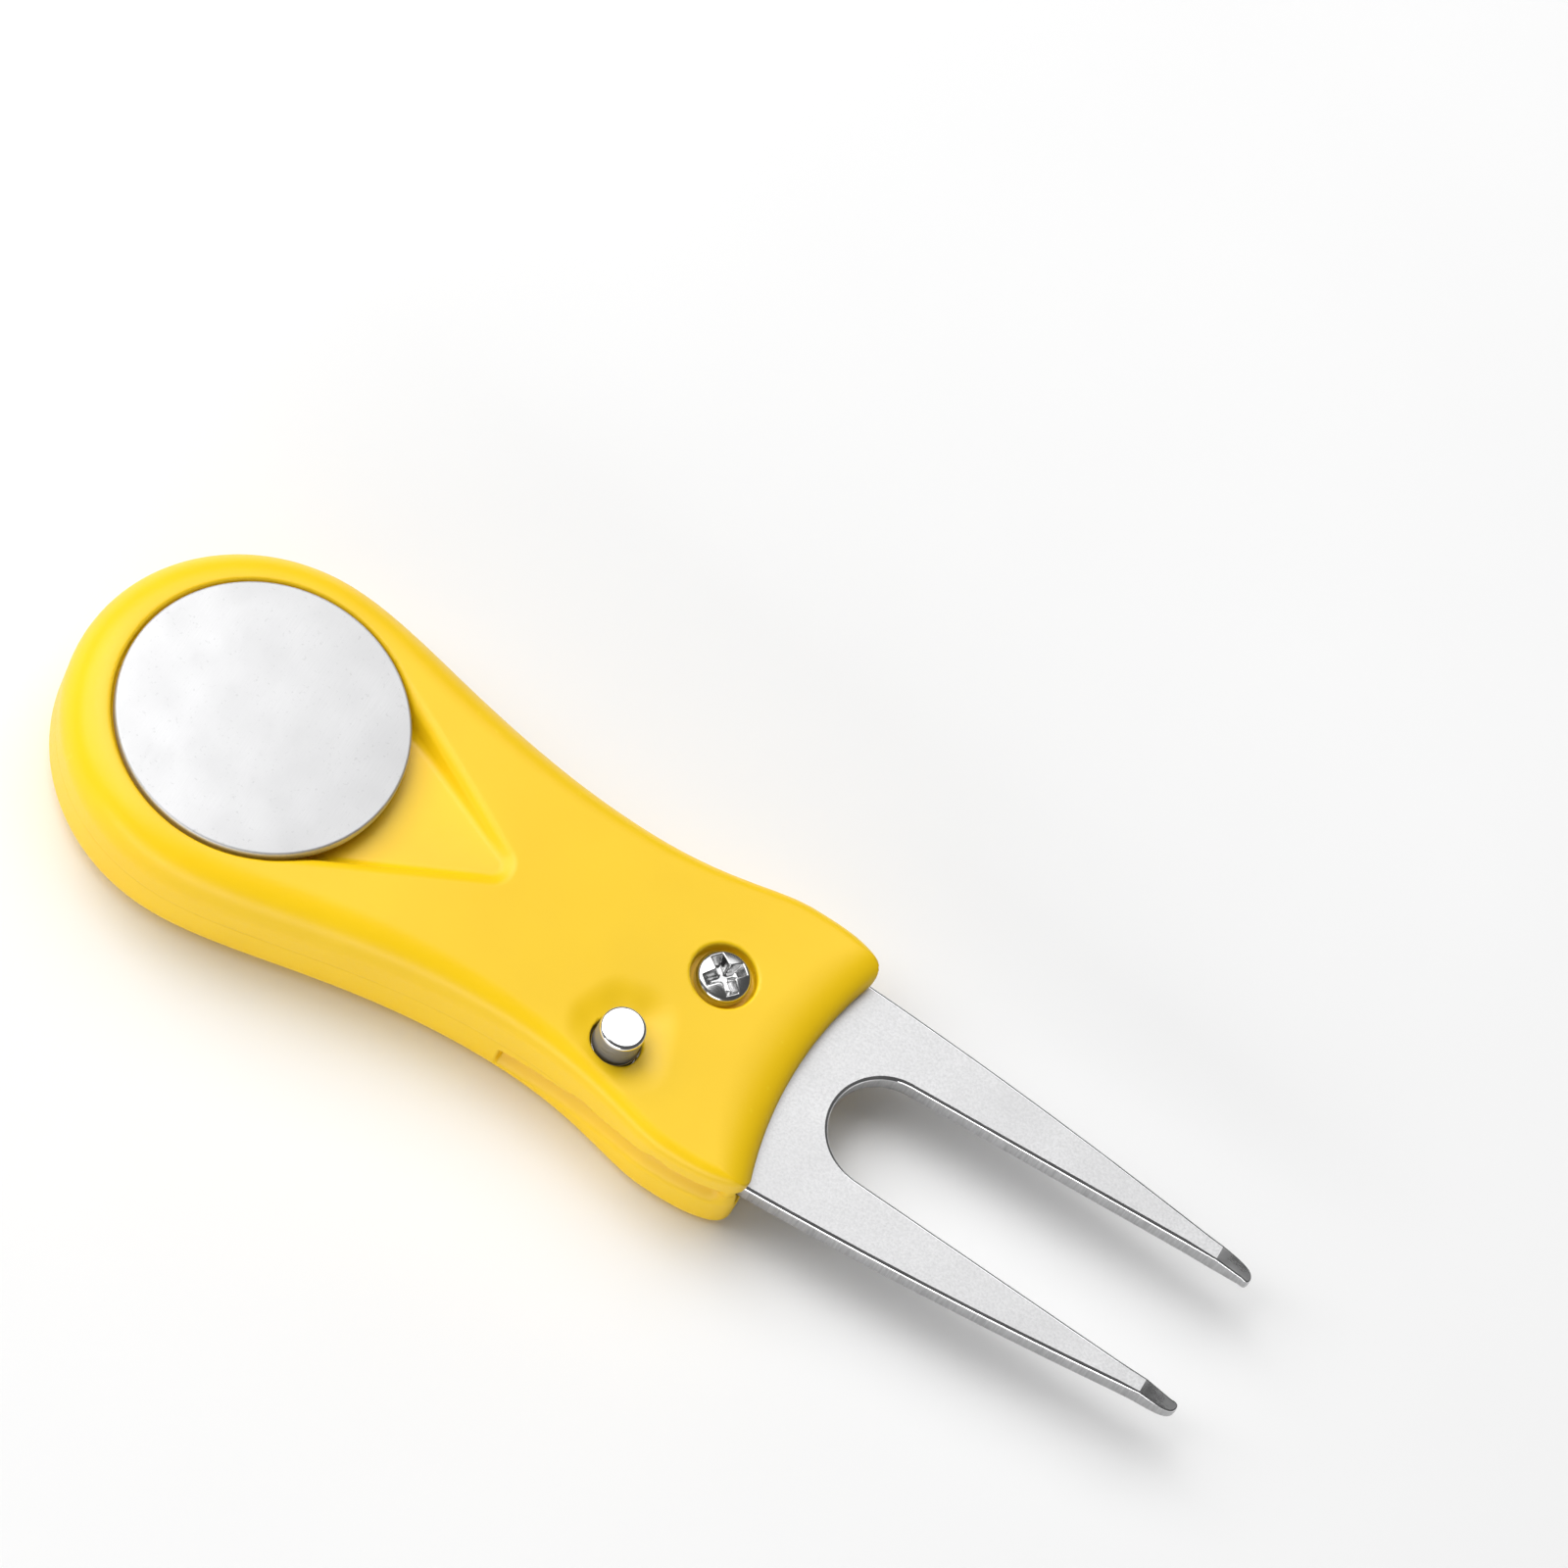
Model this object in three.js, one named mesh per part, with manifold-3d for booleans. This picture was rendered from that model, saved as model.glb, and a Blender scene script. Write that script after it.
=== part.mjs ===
// Folding divot repair tool: a moulded handle in two bonded shells, a steel fork that folds into
// a slot between them, a sprung lock button, and a magnetic ball marker.
//
// Millimetres. +X runs from the ball marker to the prong tips, +Z leaves the flat back towards the
// marker face. The origin is on the back face, under the marker's centre.

import * as THREE from "three";
import { mergeVertices } from "three/addons/utils/BufferGeometryUtils.js";
import Module from "manifold-3d";

const wasm = await Module();
wasm.setup();

// ---------------------------------------------------------------- driving dimensions

// Handle outline, half of it: the other half mirrors it about y = 0.
const HEAD = { length: 16.6, halfWidth: 16.3 };
const WAIST = { x: 32, halfWidth: 11.3 };
const NECK = { x: 47.2, halfWidth: 13.5 };
const CORNER = { x: 53, y: 12.75, frontY: 10.6 };
const FRONT_ARC = { x: 89.2, radius: 36.4 };
// Control points of the outline's curves, named after the point that each one leaves.
const LEAVING = {
  front: [[54.75, 12.1]],
  corner: [[51.4, 13.35], [49.6, NECK.halfWidth]],
  neck: [[43.6, NECK.halfWidth], [39.9, WAIST.halfWidth]],
  waist: [[18, WAIST.halfWidth], [8, HEAD.halfWidth]],
};

// Handle heights.
const HEAD_TOP_Z = 10.7;
const NECK_TOP_Z = 9.2;
const SEAM_Z = 5.3;
const SLOT = { floorZ: 3.8, ceilingZ: 6.8 };
const FRONT_ROLL = { length: 5, lipZ: 7.3 };

const TOP_FALL = { startX: 15, endX: 50 };

// Edge rounding, which shrinks from the head to the front corners.
const TOP_EDGE = { head: 3.6, neck: 1.5, corner: 1 };
const BACK_EDGE = { head: 2.5, neck: 1.5, corner: 1 };
const EDGE_CHANGE = { startX: 10, endX: 54 };

// Ball marker and its seat.
const MARKER = { radius: 12.5, topZ: 11, thickness: 1.2 };
const SEAT = { radius: 12.75, landZ: 9.75 };
const THUMB_RAMP = { wallRadius: 12.4, startX: 7, startZ: 8.4, endX: 23.7, endZ: 10, tipRadius: 1.3 };
const MAGNET = { radius: 6, topZ: 9.7, thickness: 2 };

// Pivot stack.
const PIVOT = { x: 43.6, y: 3.05 };
const SCREW = { headRadius: 2.38, headTopZ: 9.9, seatZ: 8.1, shankRadius: 1.3, endZ: 2 };
const SCREW_CROSS = { reach: 1.85, halfWidth: 0.4, depth: 1.1, turn: 50 };
const BARREL = { radius: 2.3, bore: 1.4, flangeRadius: 3.2, backZ: 0.4, flangeZ: 1.2, endWall: 0.8 };
const BARREL_DRIVER_SLOT = { halfWidth: 0.4, depth: 0.4 };
const WASHER = { bore: 2.45, upperRadius: 6, lowerRadius: 3.3, thickness: 0.4, gap: 0.05 };
const TORSION = { meanRadius: 4.5, wire: 0.6, firstZ: 2.4, pitch: 0.66, turns: 1.5, hookZ: 5.4 };
const TORSION_POCKET = { inner: 3.5, outer: 5.6, floorZ: 2 };

// Lock button.
const BUTTON = { x: 38.9, y: -7.28, radius: 2, topZ: 12.05, collarRadius: 2.8, bore: 1.5 };
const BUTTON_COLLAR = { bottomZ: 4.4, topZ: 6.7 };
const BUTTON_BORE_TOP_Z = 8;
const BUTTON_POCKET = { radius: 3.05, floorZ: 1.2 };
const BUTTON_DISH = { radius: 4.3, depth: 0.8 };
const BUTTON_SPRING = { meanRadius: 1.1, wire: 0.35, turns: 6 };

// Fork.
const FORK = { bottomZ: 4.3, thickness: 2, tipX: 94.35, tipY: 6.9 };
const PRONG_GAP = { rootX: 57.06, radius: 5 };
const TANG = { radius: 7.9, bore: 2.4 };
const TIP_RAMP = { startX: 90.9, tipZ: 5.5 };
const FORK_HEEL = [[48, -11.3], [44.7, -11.1], [44.7, -8.3]];
const LOCK_RELIEF = [[48, 9.9], [49.8, 9.9], [51.3, 10.8]];
const PRONG_TIP = { outerX: 91, outerControl: [93.7, 7.6], innerControl: [94.4, 6.5], innerX: 93.6 };

// Groove along the near side, and the room that the fork needs in the slot.
const GROOVE = { startX: 31, endX: 50, endY: 11, startZ: 4.3, height: 0.4, depth: 0.6 };
const SWEEP_RADIUS = 52.2;
const SLOT_WALL_Y = -6;
const TANG_ROOM = [[40.8, SLOT_WALL_Y], [44.5, -9.5]];
const NEAR_WALL_Y = -11.75;

const CLEARANCE = 0.25;
const ROUND = 40;
const ABOVE = 20;

// ---------------------------------------------------------------- solids and booleans

/** A closed three.js geometry as a manifold solid with its faces pointing out. */
function solid(geometry) {
  const bare = geometry.clone();
  bare.deleteAttribute("normal");
  bare.deleteAttribute("uv");
  const merged = mergeVertices(bare, 1e-4);
  const vertProperties = new Float32Array(merged.attributes.position.array);
  const faces = [];
  for (let i = 0; i < merged.index.count; i += 3) {
    const [a, b, c] = [0, 1, 2].map((k) => merged.index.getX(i + k));
    if (a !== b && b !== c && c !== a) faces.push([a, b, c]);
  }
  if (signedVolume(vertProperties, faces) < 0) faces.forEach((face) => face.reverse());
  const triVerts = new Uint32Array(faces.flat());
  return new wasm.Manifold(new wasm.Mesh({ numProp: 3, vertProperties, triVerts }));
}

function signedVolume(xyz, faces) {
  const corner = (i) => new THREE.Vector3().fromArray(xyz, 3 * i);
  return faces.reduce((sum, [a, b, c]) => sum + corner(a).dot(corner(b).cross(corner(c))) / 6, 0);
}

/** A manifold solid back as a three.js geometry. */
function geometryOf(manifold) {
  const { vertProperties, triVerts, numProp } = manifold.getMesh();
  const geometry = new THREE.BufferGeometry();
  const xyz = [];
  for (let i = 0; i < vertProperties.length; i += numProp) xyz.push(...vertProperties.slice(i, i + 3));
  geometry.setAttribute("position", new THREE.Float32BufferAttribute(xyz, 3));
  geometry.setIndex([...triVerts]);
  geometry.computeVertexNormals();
  return geometry;
}

/** A straight-sided solid over a plan outline, from one height to another. */
function prism(points, bottomZ, topZ) {
  const geometry = new THREE.ExtrudeGeometry(new THREE.Shape(points), {
    depth: topZ - bottomZ,
    bevelEnabled: false,
    curveSegments: ROUND,
  });
  return solid(geometry.translate(0, 0, bottomZ));
}

/** A solid of revolution about a vertical axis; the profile is a list of [radius, z]. */
function turned(profile, { x = 0, y = 0 } = {}, segments = ROUND) {
  const points = profile.map(([radius, z]) => new THREE.Vector2(radius, z));
  const geometry = new THREE.LatheGeometry(points, segments).rotateX(Math.PI / 2);
  return solid(geometry.translate(x, y, 0));
}

function cylinder(radius, bottomZ, topZ, place, segments = ROUND) {
  return turned([[0, bottomZ], [radius, bottomZ], [radius, topZ], [0, topZ]], place, segments);
}

function ring(inner, outer, bottomZ, topZ, place, segments = ROUND) {
  const profile = [[inner, bottomZ], [outer, bottomZ], [outer, topZ], [inner, topZ], [inner, bottomZ]];
  return turned(profile, place, segments);
}

function block([x0, y0, z0], [x1, y1, z1]) {
  const geometry = new THREE.BoxGeometry(x1 - x0, y1 - y0, z1 - z0);
  return solid(geometry.translate((x0 + x1) / 2, (y0 + y1) / 2, (z0 + z1) / 2));
}

function unionOf(parts) {
  return parts.reduce((whole, part) => whole.add(part));
}

function cut(body, cutters) {
  return cutters.reduce((rest, cutter) => rest.subtract(cutter), body);
}

/** Points of an arc, both ends included, angles in degrees. */
function arc({ x, y }, radius, fromDeg, toDeg, steps) {
  return Array.from({ length: steps + 1 }, (_, i) => {
    const angle = THREE.MathUtils.degToRad(fromDeg + ((toDeg - fromDeg) * i) / steps);
    return new THREE.Vector2(x + radius * Math.cos(angle), y + radius * Math.sin(angle));
  });
}

// ---------------------------------------------------------------- handle

/** The far half of the outline, from the middle of the front edge round to the head's end. */
function halfOutline() {
  const frontAngle = Math.PI - Math.asin(CORNER.frontY / FRONT_ARC.radius);
  const path = new THREE.Path();
  path.absarc(FRONT_ARC.x, 0, FRONT_ARC.radius, Math.PI, frontAngle, true);
  path.quadraticCurveTo(...LEAVING.front.flat(), CORNER.x, CORNER.y);
  path.bezierCurveTo(...LEAVING.corner.flat(), NECK.x, NECK.halfWidth);
  path.bezierCurveTo(...LEAVING.neck.flat(), WAIST.x, WAIST.halfWidth);
  path.bezierCurveTo(...LEAVING.waist.flat(), 0, HEAD.halfWidth);
  path.absellipse(0, 0, HEAD.length, HEAD.halfWidth, Math.PI / 2, Math.PI);
  const steps = [8, 6, 4, 8, 12, 14];
  const curves = path.curves.filter((curve) => curve.getLength() > 1e-6);
  return curves.flatMap((curve, i) => curve.getPoints(steps[i]).slice(i === 0 ? 0 : 1));
}

/** How much an edge is rounded at a place along the handle. */
function edgeRadius({ head, neck, corner }, x) {
  const { startX, endX } = EDGE_CHANGE;
  if (x > NECK.x) return THREE.MathUtils.mapLinear(Math.min(x, endX), NECK.x, endX, neck, corner);
  return THREE.MathUtils.lerp(head, neck, THREE.MathUtils.smoothstep(x, startX, NECK.x));
}

/** Height of the front face, which falls gently from the head to the neck. */
function topZ(x) {
  const share = THREE.MathUtils.smoothstep(x, TOP_FALL.startX, TOP_FALL.endX);
  return THREE.MathUtils.lerp(HEAD_TOP_Z, NECK_TOP_Z, share);
}

/** The handle's outer body, lofted from the back face through both rounded edges to the top. */
function handleBody() {
  const far = halfOutline();
  const near = far.slice(1, -1).reverse().map((p) => new THREE.Vector2(p.x, -p.y));
  const plan = [...far, ...near];
  const inward = plan.map((_, i) => {
    const along = plan[(i + 1) % plan.length].clone().sub(plan.at(i - 1));
    return new THREE.Vector2(-along.y, along.x).normalize();
  });

  const levels = [];
  const stepsPerEdge = 4;
  for (let i = 0; i <= stepsPerEdge; i++) {
    const a = (i / stepsPerEdge) * (Math.PI / 2);
    levels.push((x) => {
      const r = edgeRadius(BACK_EDGE, x);
      return { inset: r * (1 - Math.sin(a)), z: r * (1 - Math.cos(a)) };
    });
  }
  for (let i = 0; i <= stepsPerEdge; i++) {
    const a = (i / stepsPerEdge) * (Math.PI / 2);
    levels.push((x) => {
      const r = edgeRadius(TOP_EDGE, x);
      return { inset: r * (1 - Math.cos(a)), z: topZ(x) - r * (1 - Math.sin(a)) };
    });
  }

  const xyz = [];
  for (const level of levels) {
    plan.forEach((p, i) => {
      const { inset, z } = level(p.x);
      xyz.push(p.x + inward[i].x * inset, p.y + inward[i].y * inset, z);
    });
  }

  const count = plan.length;
  const faces = [];
  for (let j = 0; j + 1 < levels.length; j++) {
    for (let i = 0; i < count; i++) {
      const [a, b] = [j * count + i, j * count + ((i + 1) % count)];
      faces.push([a, b, b + count], [a, b + count, a + count]);
    }
  }
  const neckIndex = far.findIndex((p) => Math.abs(p.x - NECK.x) < 1e-6);
  faces.push(...capFaces(plan, xyz, 0, neckIndex, far.length).map((face) => face.reverse()));
  faces.push(...capFaces(plan, xyz, (levels.length - 1) * count, neckIndex, far.length));

  const geometry = new THREE.BufferGeometry();
  geometry.setAttribute("position", new THREE.Float32BufferAttribute(xyz, 3));
  geometry.setIndex(faces.flat());
  return solid(geometry);
}

/** Closes one end ring: a flat piece in front of the neck, then strips straight across. */
function capFaces(plan, xyz, start, neckIndex, farCount) {
  const count = plan.length;
  const mirror = (i) => (i === 0 ? 0 : count - i);
  const frontRing = [];
  for (let i = 0; i <= neckIndex; i++) frontRing.push(i);
  for (let i = neckIndex; i > 0; i--) frontRing.push(mirror(i));
  const contour = frontRing.map((i) => {
    const at = 3 * (start + i);
    return new THREE.Vector2(xyz[at], xyz[at + 1]);
  });
  const faces = THREE.ShapeUtils.triangulateShape(contour, []).map((face) =>
    face.map((k) => start + frontRing[k]),
  );
  for (let i = neckIndex; i + 1 < farCount; i++) {
    const [a, b, c, d] = [i, i + 1, mirror(i + 1), mirror(i)].map((k) => start + k);
    faces.push([a, b, d]);
    if (b !== c) faces.push([b, c, d]);
  }
  return faces;
}

/** Everything in front of, and above, the convex roll of the front edge. */
function frontRollCutter() {
  const { radius } = FRONT_ARC;
  const steps = 8;
  const roll = Array.from({ length: steps + 1 }, (_, i) => {
    const s = i / steps;
    const rise = Math.sqrt(1 - (1 - s) ** 2);
    const z = THREE.MathUtils.lerp(FRONT_ROLL.lipZ, NECK_TOP_Z + 0.05, rise);
    return [radius + FRONT_ROLL.length * s, z];
  });
  const inner = radius - 4;
  const profile = [[inner, FRONT_ROLL.lipZ], ...roll, [radius + FRONT_ROLL.length, ABOVE], [inner, ABOVE]];
  return turned([...profile, profile[0]], { x: FRONT_ARC.x }, 240);
}

const vector = ([x, y]) => new THREE.Vector2(x, y);

/** The slot: everywhere that the fork and its tang pass between the shells. */
function slotCutter() {
  const beyond = 60;
  const sweep = arc(PIVOT, SWEEP_RADIUS, 160, 190, 10);
  const sweepEndX = PIVOT.x - Math.sqrt(SWEEP_RADIUS ** 2 - (PIVOT.y - SLOT_WALL_Y) ** 2);
  const plan = [
    new THREE.Vector2(beyond, NEAR_WALL_Y),
    new THREE.Vector2(beyond, beyond),
    new THREE.Vector2(sweep[0].x, beyond),
    ...sweep.filter((p) => p.y > SLOT_WALL_Y),
    new THREE.Vector2(sweepEndX, SLOT_WALL_Y),
    ...TANG_ROOM.map(vector),
    new THREE.Vector2(TANG_ROOM.at(-1)[0], NEAR_WALL_Y),
  ];
  return prism(plan, SLOT.floorZ, SLOT.ceilingZ);
}

/** The shallow groove along the near side, which climbs from the waist to the front corner. */
function grooveCutter() {
  const { startX, endX, endY, startZ, height, depth } = GROOVE;
  const beyond = 60;
  const steps = 8;
  const upper = Array.from({ length: steps + 1 }, (_, i) => {
    const x = THREE.MathUtils.lerp(startX, endX, i / steps);
    const share = THREE.MathUtils.smoothstep(x, startX, endX);
    return new THREE.Vector2(x, THREE.MathUtils.lerp(startZ, SLOT.ceilingZ, share));
  });
  upper.push(new THREE.Vector2(beyond, SLOT.ceilingZ));
  const lower = upper.map((p) => new THREE.Vector2(p.x, p.y - height));
  const strip = prism([...lower, ...upper.reverse()], 0, ABOVE).rotate([90, 0, 0]);

  const edge = halfOutline().filter((p) => p.x > startX && p.y > endY);
  const wall = edge.map((p) => new THREE.Vector2(p.x, depth - p.y));
  const outside = [
    new THREE.Vector2(startX, -ABOVE),
    new THREE.Vector2(beyond, -ABOVE),
    new THREE.Vector2(beyond, wall[0].y),
    ...wall,
    new THREE.Vector2(startX, wall.at(-1).y),
  ];
  return strip.intersect(prism(outside, 0, ABOVE));
}

/** The marker's round seat, the thumb ramp that runs out of it to a point, and the magnet's pocket. */
function markerSeatCutters() {
  const { wallRadius, startX, startZ, endX, endZ, tipRadius } = THUMB_RAMP;
  const tipCentre = { x: endX - tipRadius, y: 0 };
  const tangent = THREE.MathUtils.radToDeg(Math.acos((wallRadius - tipRadius) / tipCentre.x));
  const startAngle = THREE.MathUtils.radToDeg(Math.acos(startX / wallRadius));
  const plan = [
    ...arc({ x: 0, y: 0 }, wallRadius, -startAngle, -tangent, 3),
    ...arc(tipCentre, tipRadius, -tangent, tangent, 8),
    ...arc({ x: 0, y: 0 }, wallRadius, tangent, startAngle, 3),
  ];
  const slope = Math.atan2(endZ - startZ, endX - startX);
  const underRamp = block([-5, -ABOVE, -5], [2 * endX, ABOVE, 0])
    .rotate([0, -THREE.MathUtils.radToDeg(slope), 0])
    .translate([startX, 0, startZ]);
  return [
    cylinder(SEAT.radius, SEAT.landZ, ABOVE, { x: 0, y: 0 }, 72),
    prism(plan, startZ - 1, ABOVE).subtract(underRamp),
    cylinder(MAGNET.radius + 0.2, MAGNET.topZ - MAGNET.thickness, ABOVE, { x: 0, y: 0 }, 48),
  ];
}

/** A shallow round dish that the button stands in. */
function buttonDishCutter() {
  const { radius, depth } = BUTTON_DISH;
  const sphereRadius = (radius ** 2 + depth ** 2) / (2 * depth);
  const steps = 5;
  const reach = Math.asin((radius + 1) / sphereRadius);
  const bottomZ = topZ(BUTTON.x) - depth;
  const bowl = Array.from({ length: steps + 1 }, (_, i) => {
    const a = (reach * i) / steps;
    return [sphereRadius * Math.sin(a), bottomZ + sphereRadius * (1 - Math.cos(a))];
  });
  return turned([...bowl, [radius + 1, ABOVE], [0, ABOVE]], BUTTON, 36);
}

function handleShells() {
  const body = cut(handleBody(), [frontRollCutter(), slotCutter(), grooveCutter()]);
  const aboveSeam = block([-50, -50, SEAM_Z], [100, 50, ABOVE]);
  const belowSeam = block([-50, -50, -5], [100, 50, SEAM_Z]);
  const buttonWell = cylinder(BUTTON_POCKET.radius, BUTTON_POCKET.floorZ, SLOT.ceilingZ, BUTTON);

  const front = cut(body.intersect(aboveSeam), [
    ...markerSeatCutters(),
    buttonDishCutter(),
    buttonWell,
    cylinder(BUTTON.radius + 0.35, SLOT.floorZ, ABOVE, BUTTON),
    cylinder(SCREW.headRadius + 0.5, SCREW.seatZ, ABOVE, PIVOT),
    cylinder(SCREW.shankRadius + CLEARANCE, SLOT.floorZ, ABOVE, PIVOT),
  ]);
  const back = cut(body.intersect(belowSeam), [
    buttonWell,
    cylinder(BARREL.flangeRadius + CLEARANCE, -1, BARREL.flangeZ, PIVOT),
    cylinder(BARREL.radius + 0.05, -1, SLOT.floorZ + 1, PIVOT),
    ring(TORSION_POCKET.inner, TORSION_POCKET.outer, TORSION_POCKET.floorZ, SLOT.floorZ + 1, PIVOT),
  ]);
  return { front, back };
}

// ---------------------------------------------------------------- fork

/** Half-width of the fork at a place along it, outside and inside the prong. */
function prongEdges(x) {
  const u = (x - 75) / 10;
  return { outer: 9.727 - 0.943 * u - 0.114 * u ** 2, inner: 5.604 + 0.461 * u };
}

function forkSolid() {
  const outerEdge = (side, xs) => xs.map((x) => new THREE.Vector2(x, side * prongEdges(x).outer));
  const along = [52.2, 56, 62, 68, 74, 80, 86, PRONG_TIP.outerX];
  const prongTip = (side) => {
    const { outerX, outerControl, innerControl, innerX } = PRONG_TIP;
    const at = (x, y) => new THREE.Vector2(x, side * y);
    const nose = at(FORK.tipX, FORK.tipY);
    const outer = at(outerX, prongEdges(outerX).outer);
    const inner = at(innerX, prongEdges(innerX).inner);
    const outside = new THREE.QuadraticBezierCurve(outer, at(...outerControl), nose);
    const inside = new THREE.QuadraticBezierCurve(nose, at(...innerControl), inner);
    return [...outside.getPoints(5).slice(1), ...inside.getPoints(3).slice(1)];
  };
  const farTip = prongTip(1);
  const nearTip = prongTip(-1).reverse();
  const gapRoot = arc({ x: PRONG_GAP.rootX + PRONG_GAP.radius, y: 0 }, PRONG_GAP.radius, 90, 270, 16);
  const plan = [
    ...outerEdge(1, along),
    ...farTip,
    ...gapRoot,
    ...nearTip,
    ...outerEdge(-1, [...along].reverse()),
    ...FORK_HEEL.map(vector),
    ...arc(PIVOT, TANG.radius, 260, 75, 24),
    ...LOCK_RELIEF.map(vector),
  ];
  const top = FORK.bottomZ + FORK.thickness;
  const rampAngle = THREE.MathUtils.radToDeg(Math.atan2(top - TIP_RAMP.tipZ, FORK.tipX - TIP_RAMP.startX));
  const tipCutter = block([0, -ABOVE, 0], [ABOVE, ABOVE, 5])
    .rotate([0, rampAngle, 0])
    .translate([TIP_RAMP.startX, 0, top]);
  const hookAngle = THREE.MathUtils.degToRad(TORSION.turns * 360);
  const hook = {
    x: PIVOT.x + TORSION.meanRadius * Math.cos(hookAngle),
    y: PIVOT.y + TORSION.meanRadius * Math.sin(hookAngle),
  };
  return cut(prism(plan, FORK.bottomZ, top), [
    tipCutter,
    cylinder(TANG.bore, 0, ABOVE, PIVOT),
    cylinder(TORSION.wire / 2 + 0.3, 0, TORSION.hookZ + 0.3, hook, 16),
  ]);
}

// ---------------------------------------------------------------- pivot, springs, button, marker

/** The pivot screw, with its cross recess. */
function pivotScrew() {
  const { headRadius, headTopZ, seatZ, shankRadius, endZ } = SCREW;
  const crown = [0.5, 0.8, 0.95, 1].map((share) => {
    const radius = headRadius * Math.sqrt(1 - share ** 4);
    return [radius, THREE.MathUtils.lerp(seatZ, headTopZ, share)];
  });
  const body = turned(
    [[0, endZ], [shankRadius, endZ], [shankRadius, seatZ], [headRadius, seatZ], ...crown],
    PIVOT,
  );
  const { reach, halfWidth, depth, turn } = SCREW_CROSS;
  const slotAlong = (angle) =>
    block([-reach, -halfWidth, headTopZ - depth], [reach, halfWidth, ABOVE])
      .rotate([0, 0, angle])
      .translate([PIVOT.x, PIVOT.y, 0]);
  return cut(body, [slotAlong(turn), slotAlong(turn + 90)]);
}

/** The sleeve nut that the fork turns on; its flange sits in the back shell. */
function pivotBarrel() {
  const { radius, bore, flangeRadius, backZ, flangeZ, endWall } = BARREL;
  const boreZ = backZ + endWall;
  const body = turned(
    [[bore, boreZ], [0, boreZ], [0, backZ], [flangeRadius, backZ], [flangeRadius, flangeZ],
      [radius, flangeZ], [radius, SLOT.ceilingZ], [bore, SLOT.ceilingZ], [bore, boreZ]],
    PIVOT,
  );
  const { halfWidth, depth } = BARREL_DRIVER_SLOT;
  const slot = block([-flangeRadius, -halfWidth, -1], [flangeRadius, halfWidth, backZ + depth]);
  return body.subtract(slot.translate([PIVOT.x, PIVOT.y, 0]));
}

/** A round wire along a curve, as a closed solid. */
function wire(curve, diameter, steps, sides = 8) {
  const section = new THREE.Shape(arc({ x: 0, y: 0 }, diameter / 2, 0, 360, sides).slice(0, -1));
  return solid(new THREE.ExtrudeGeometry(section, { steps, extrudePath: curve, bevelEnabled: false }));
}

class Helix extends THREE.Curve {
  constructor({ x, y, radius, bottomZ, topZ: endZ, turns }) {
    super();
    Object.assign(this, { x, y, radius, bottomZ, endZ, turns });
  }

  getPoint(t, target = new THREE.Vector3()) {
    const angle = 2 * Math.PI * this.turns * t;
    return target.set(
      this.x + this.radius * Math.cos(angle),
      this.y + this.radius * Math.sin(angle),
      THREE.MathUtils.lerp(this.bottomZ, this.endZ, t),
    );
  }
}

/** The return spring of the fork: its coil lies in the back shell, its hook stands in the tang. */
function torsionSpring() {
  const { meanRadius, wire: diameter, firstZ, pitch, turns, hookZ } = TORSION;
  const endZ = firstZ + pitch * turns;
  const coil = new Helix({ ...PIVOT, radius: meanRadius, bottomZ: firstZ, topZ: endZ, turns });
  const end = coil.getPoint(1);
  const hook = cylinder(diameter / 2, endZ, hookZ, { x: end.x, y: end.y }, 8);
  return wire(coil, diameter, 40).add(hook);
}

/** A thrust washer that lies on a height, round the sleeve nut. */
function washer(outerRadius, bottomZ) {
  return ring(WASHER.bore, outerRadius, bottomZ, bottomZ + WASHER.thickness, PIVOT);
}

function lockButton() {
  const { radius, topZ: crown, collarRadius, bore } = BUTTON;
  const { bottomZ, topZ: shoulderZ } = BUTTON_COLLAR;
  const chamfer = 0.3;
  return turned(
    [[0, BUTTON_BORE_TOP_Z], [bore, BUTTON_BORE_TOP_Z], [bore, bottomZ], [collarRadius, bottomZ],
      [collarRadius, shoulderZ], [radius, shoulderZ], [radius, crown - chamfer], [radius - chamfer, crown],
      [0, crown]],
    BUTTON,
  );
}

function buttonSpring() {
  const { meanRadius, wire: diameter, turns } = BUTTON_SPRING;
  const bottomZ = BUTTON_POCKET.floorZ + diameter / 2 + 0.05;
  const endZ = BUTTON_BORE_TOP_Z - diameter / 2 - 0.05;
  const { x, y } = BUTTON;
  return wire(new Helix({ x, y, radius: meanRadius, bottomZ, topZ: endZ, turns }), diameter, 72, 6);
}

function markerMagnet() {
  const { radius, topZ: faceZ, thickness } = MAGNET;
  return cylinder(radius, faceZ - thickness, faceZ, {}, 48);
}

function ballMarker() {
  const { radius, topZ: faceZ, thickness } = MARKER;
  const edge = 0.15;
  const backZ = faceZ - thickness;
  return turned(
    [[0, backZ], [radius - edge, backZ], [radius, backZ + edge],
      [radius, faceZ - edge], [radius - edge, faceZ], [0, faceZ]],
    { x: 0, y: 0 },
    96,
  );
}

// ---------------------------------------------------------------- assembly

const yellowPlastic = { color: 0xffd23c, roughness: 0.55, metalness: 0 };
const beadBlastedSteel = { color: 0xd5d6d8, roughness: 0.42, metalness: 1 };
const brushedSteel = { color: 0xe4e5e6, roughness: 0.3, metalness: 1 };
const polishedSteel = { color: 0xd8dadc, roughness: 0.12, metalness: 1 };
const springSteel = { color: 0x9a9c9f, roughness: 0.35, metalness: 1 };
const nickelMagnet = { color: 0xb9bcc0, roughness: 0.25, metalness: 1 };
const nylon = { color: 0xe8e6df, roughness: 0.6, metalness: 0 };

function named(name, manifold, finish) {
  const mesh = new THREE.Mesh(geometryOf(manifold), new THREE.MeshStandardMaterial(finish));
  mesh.name = name;
  return mesh;
}

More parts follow.
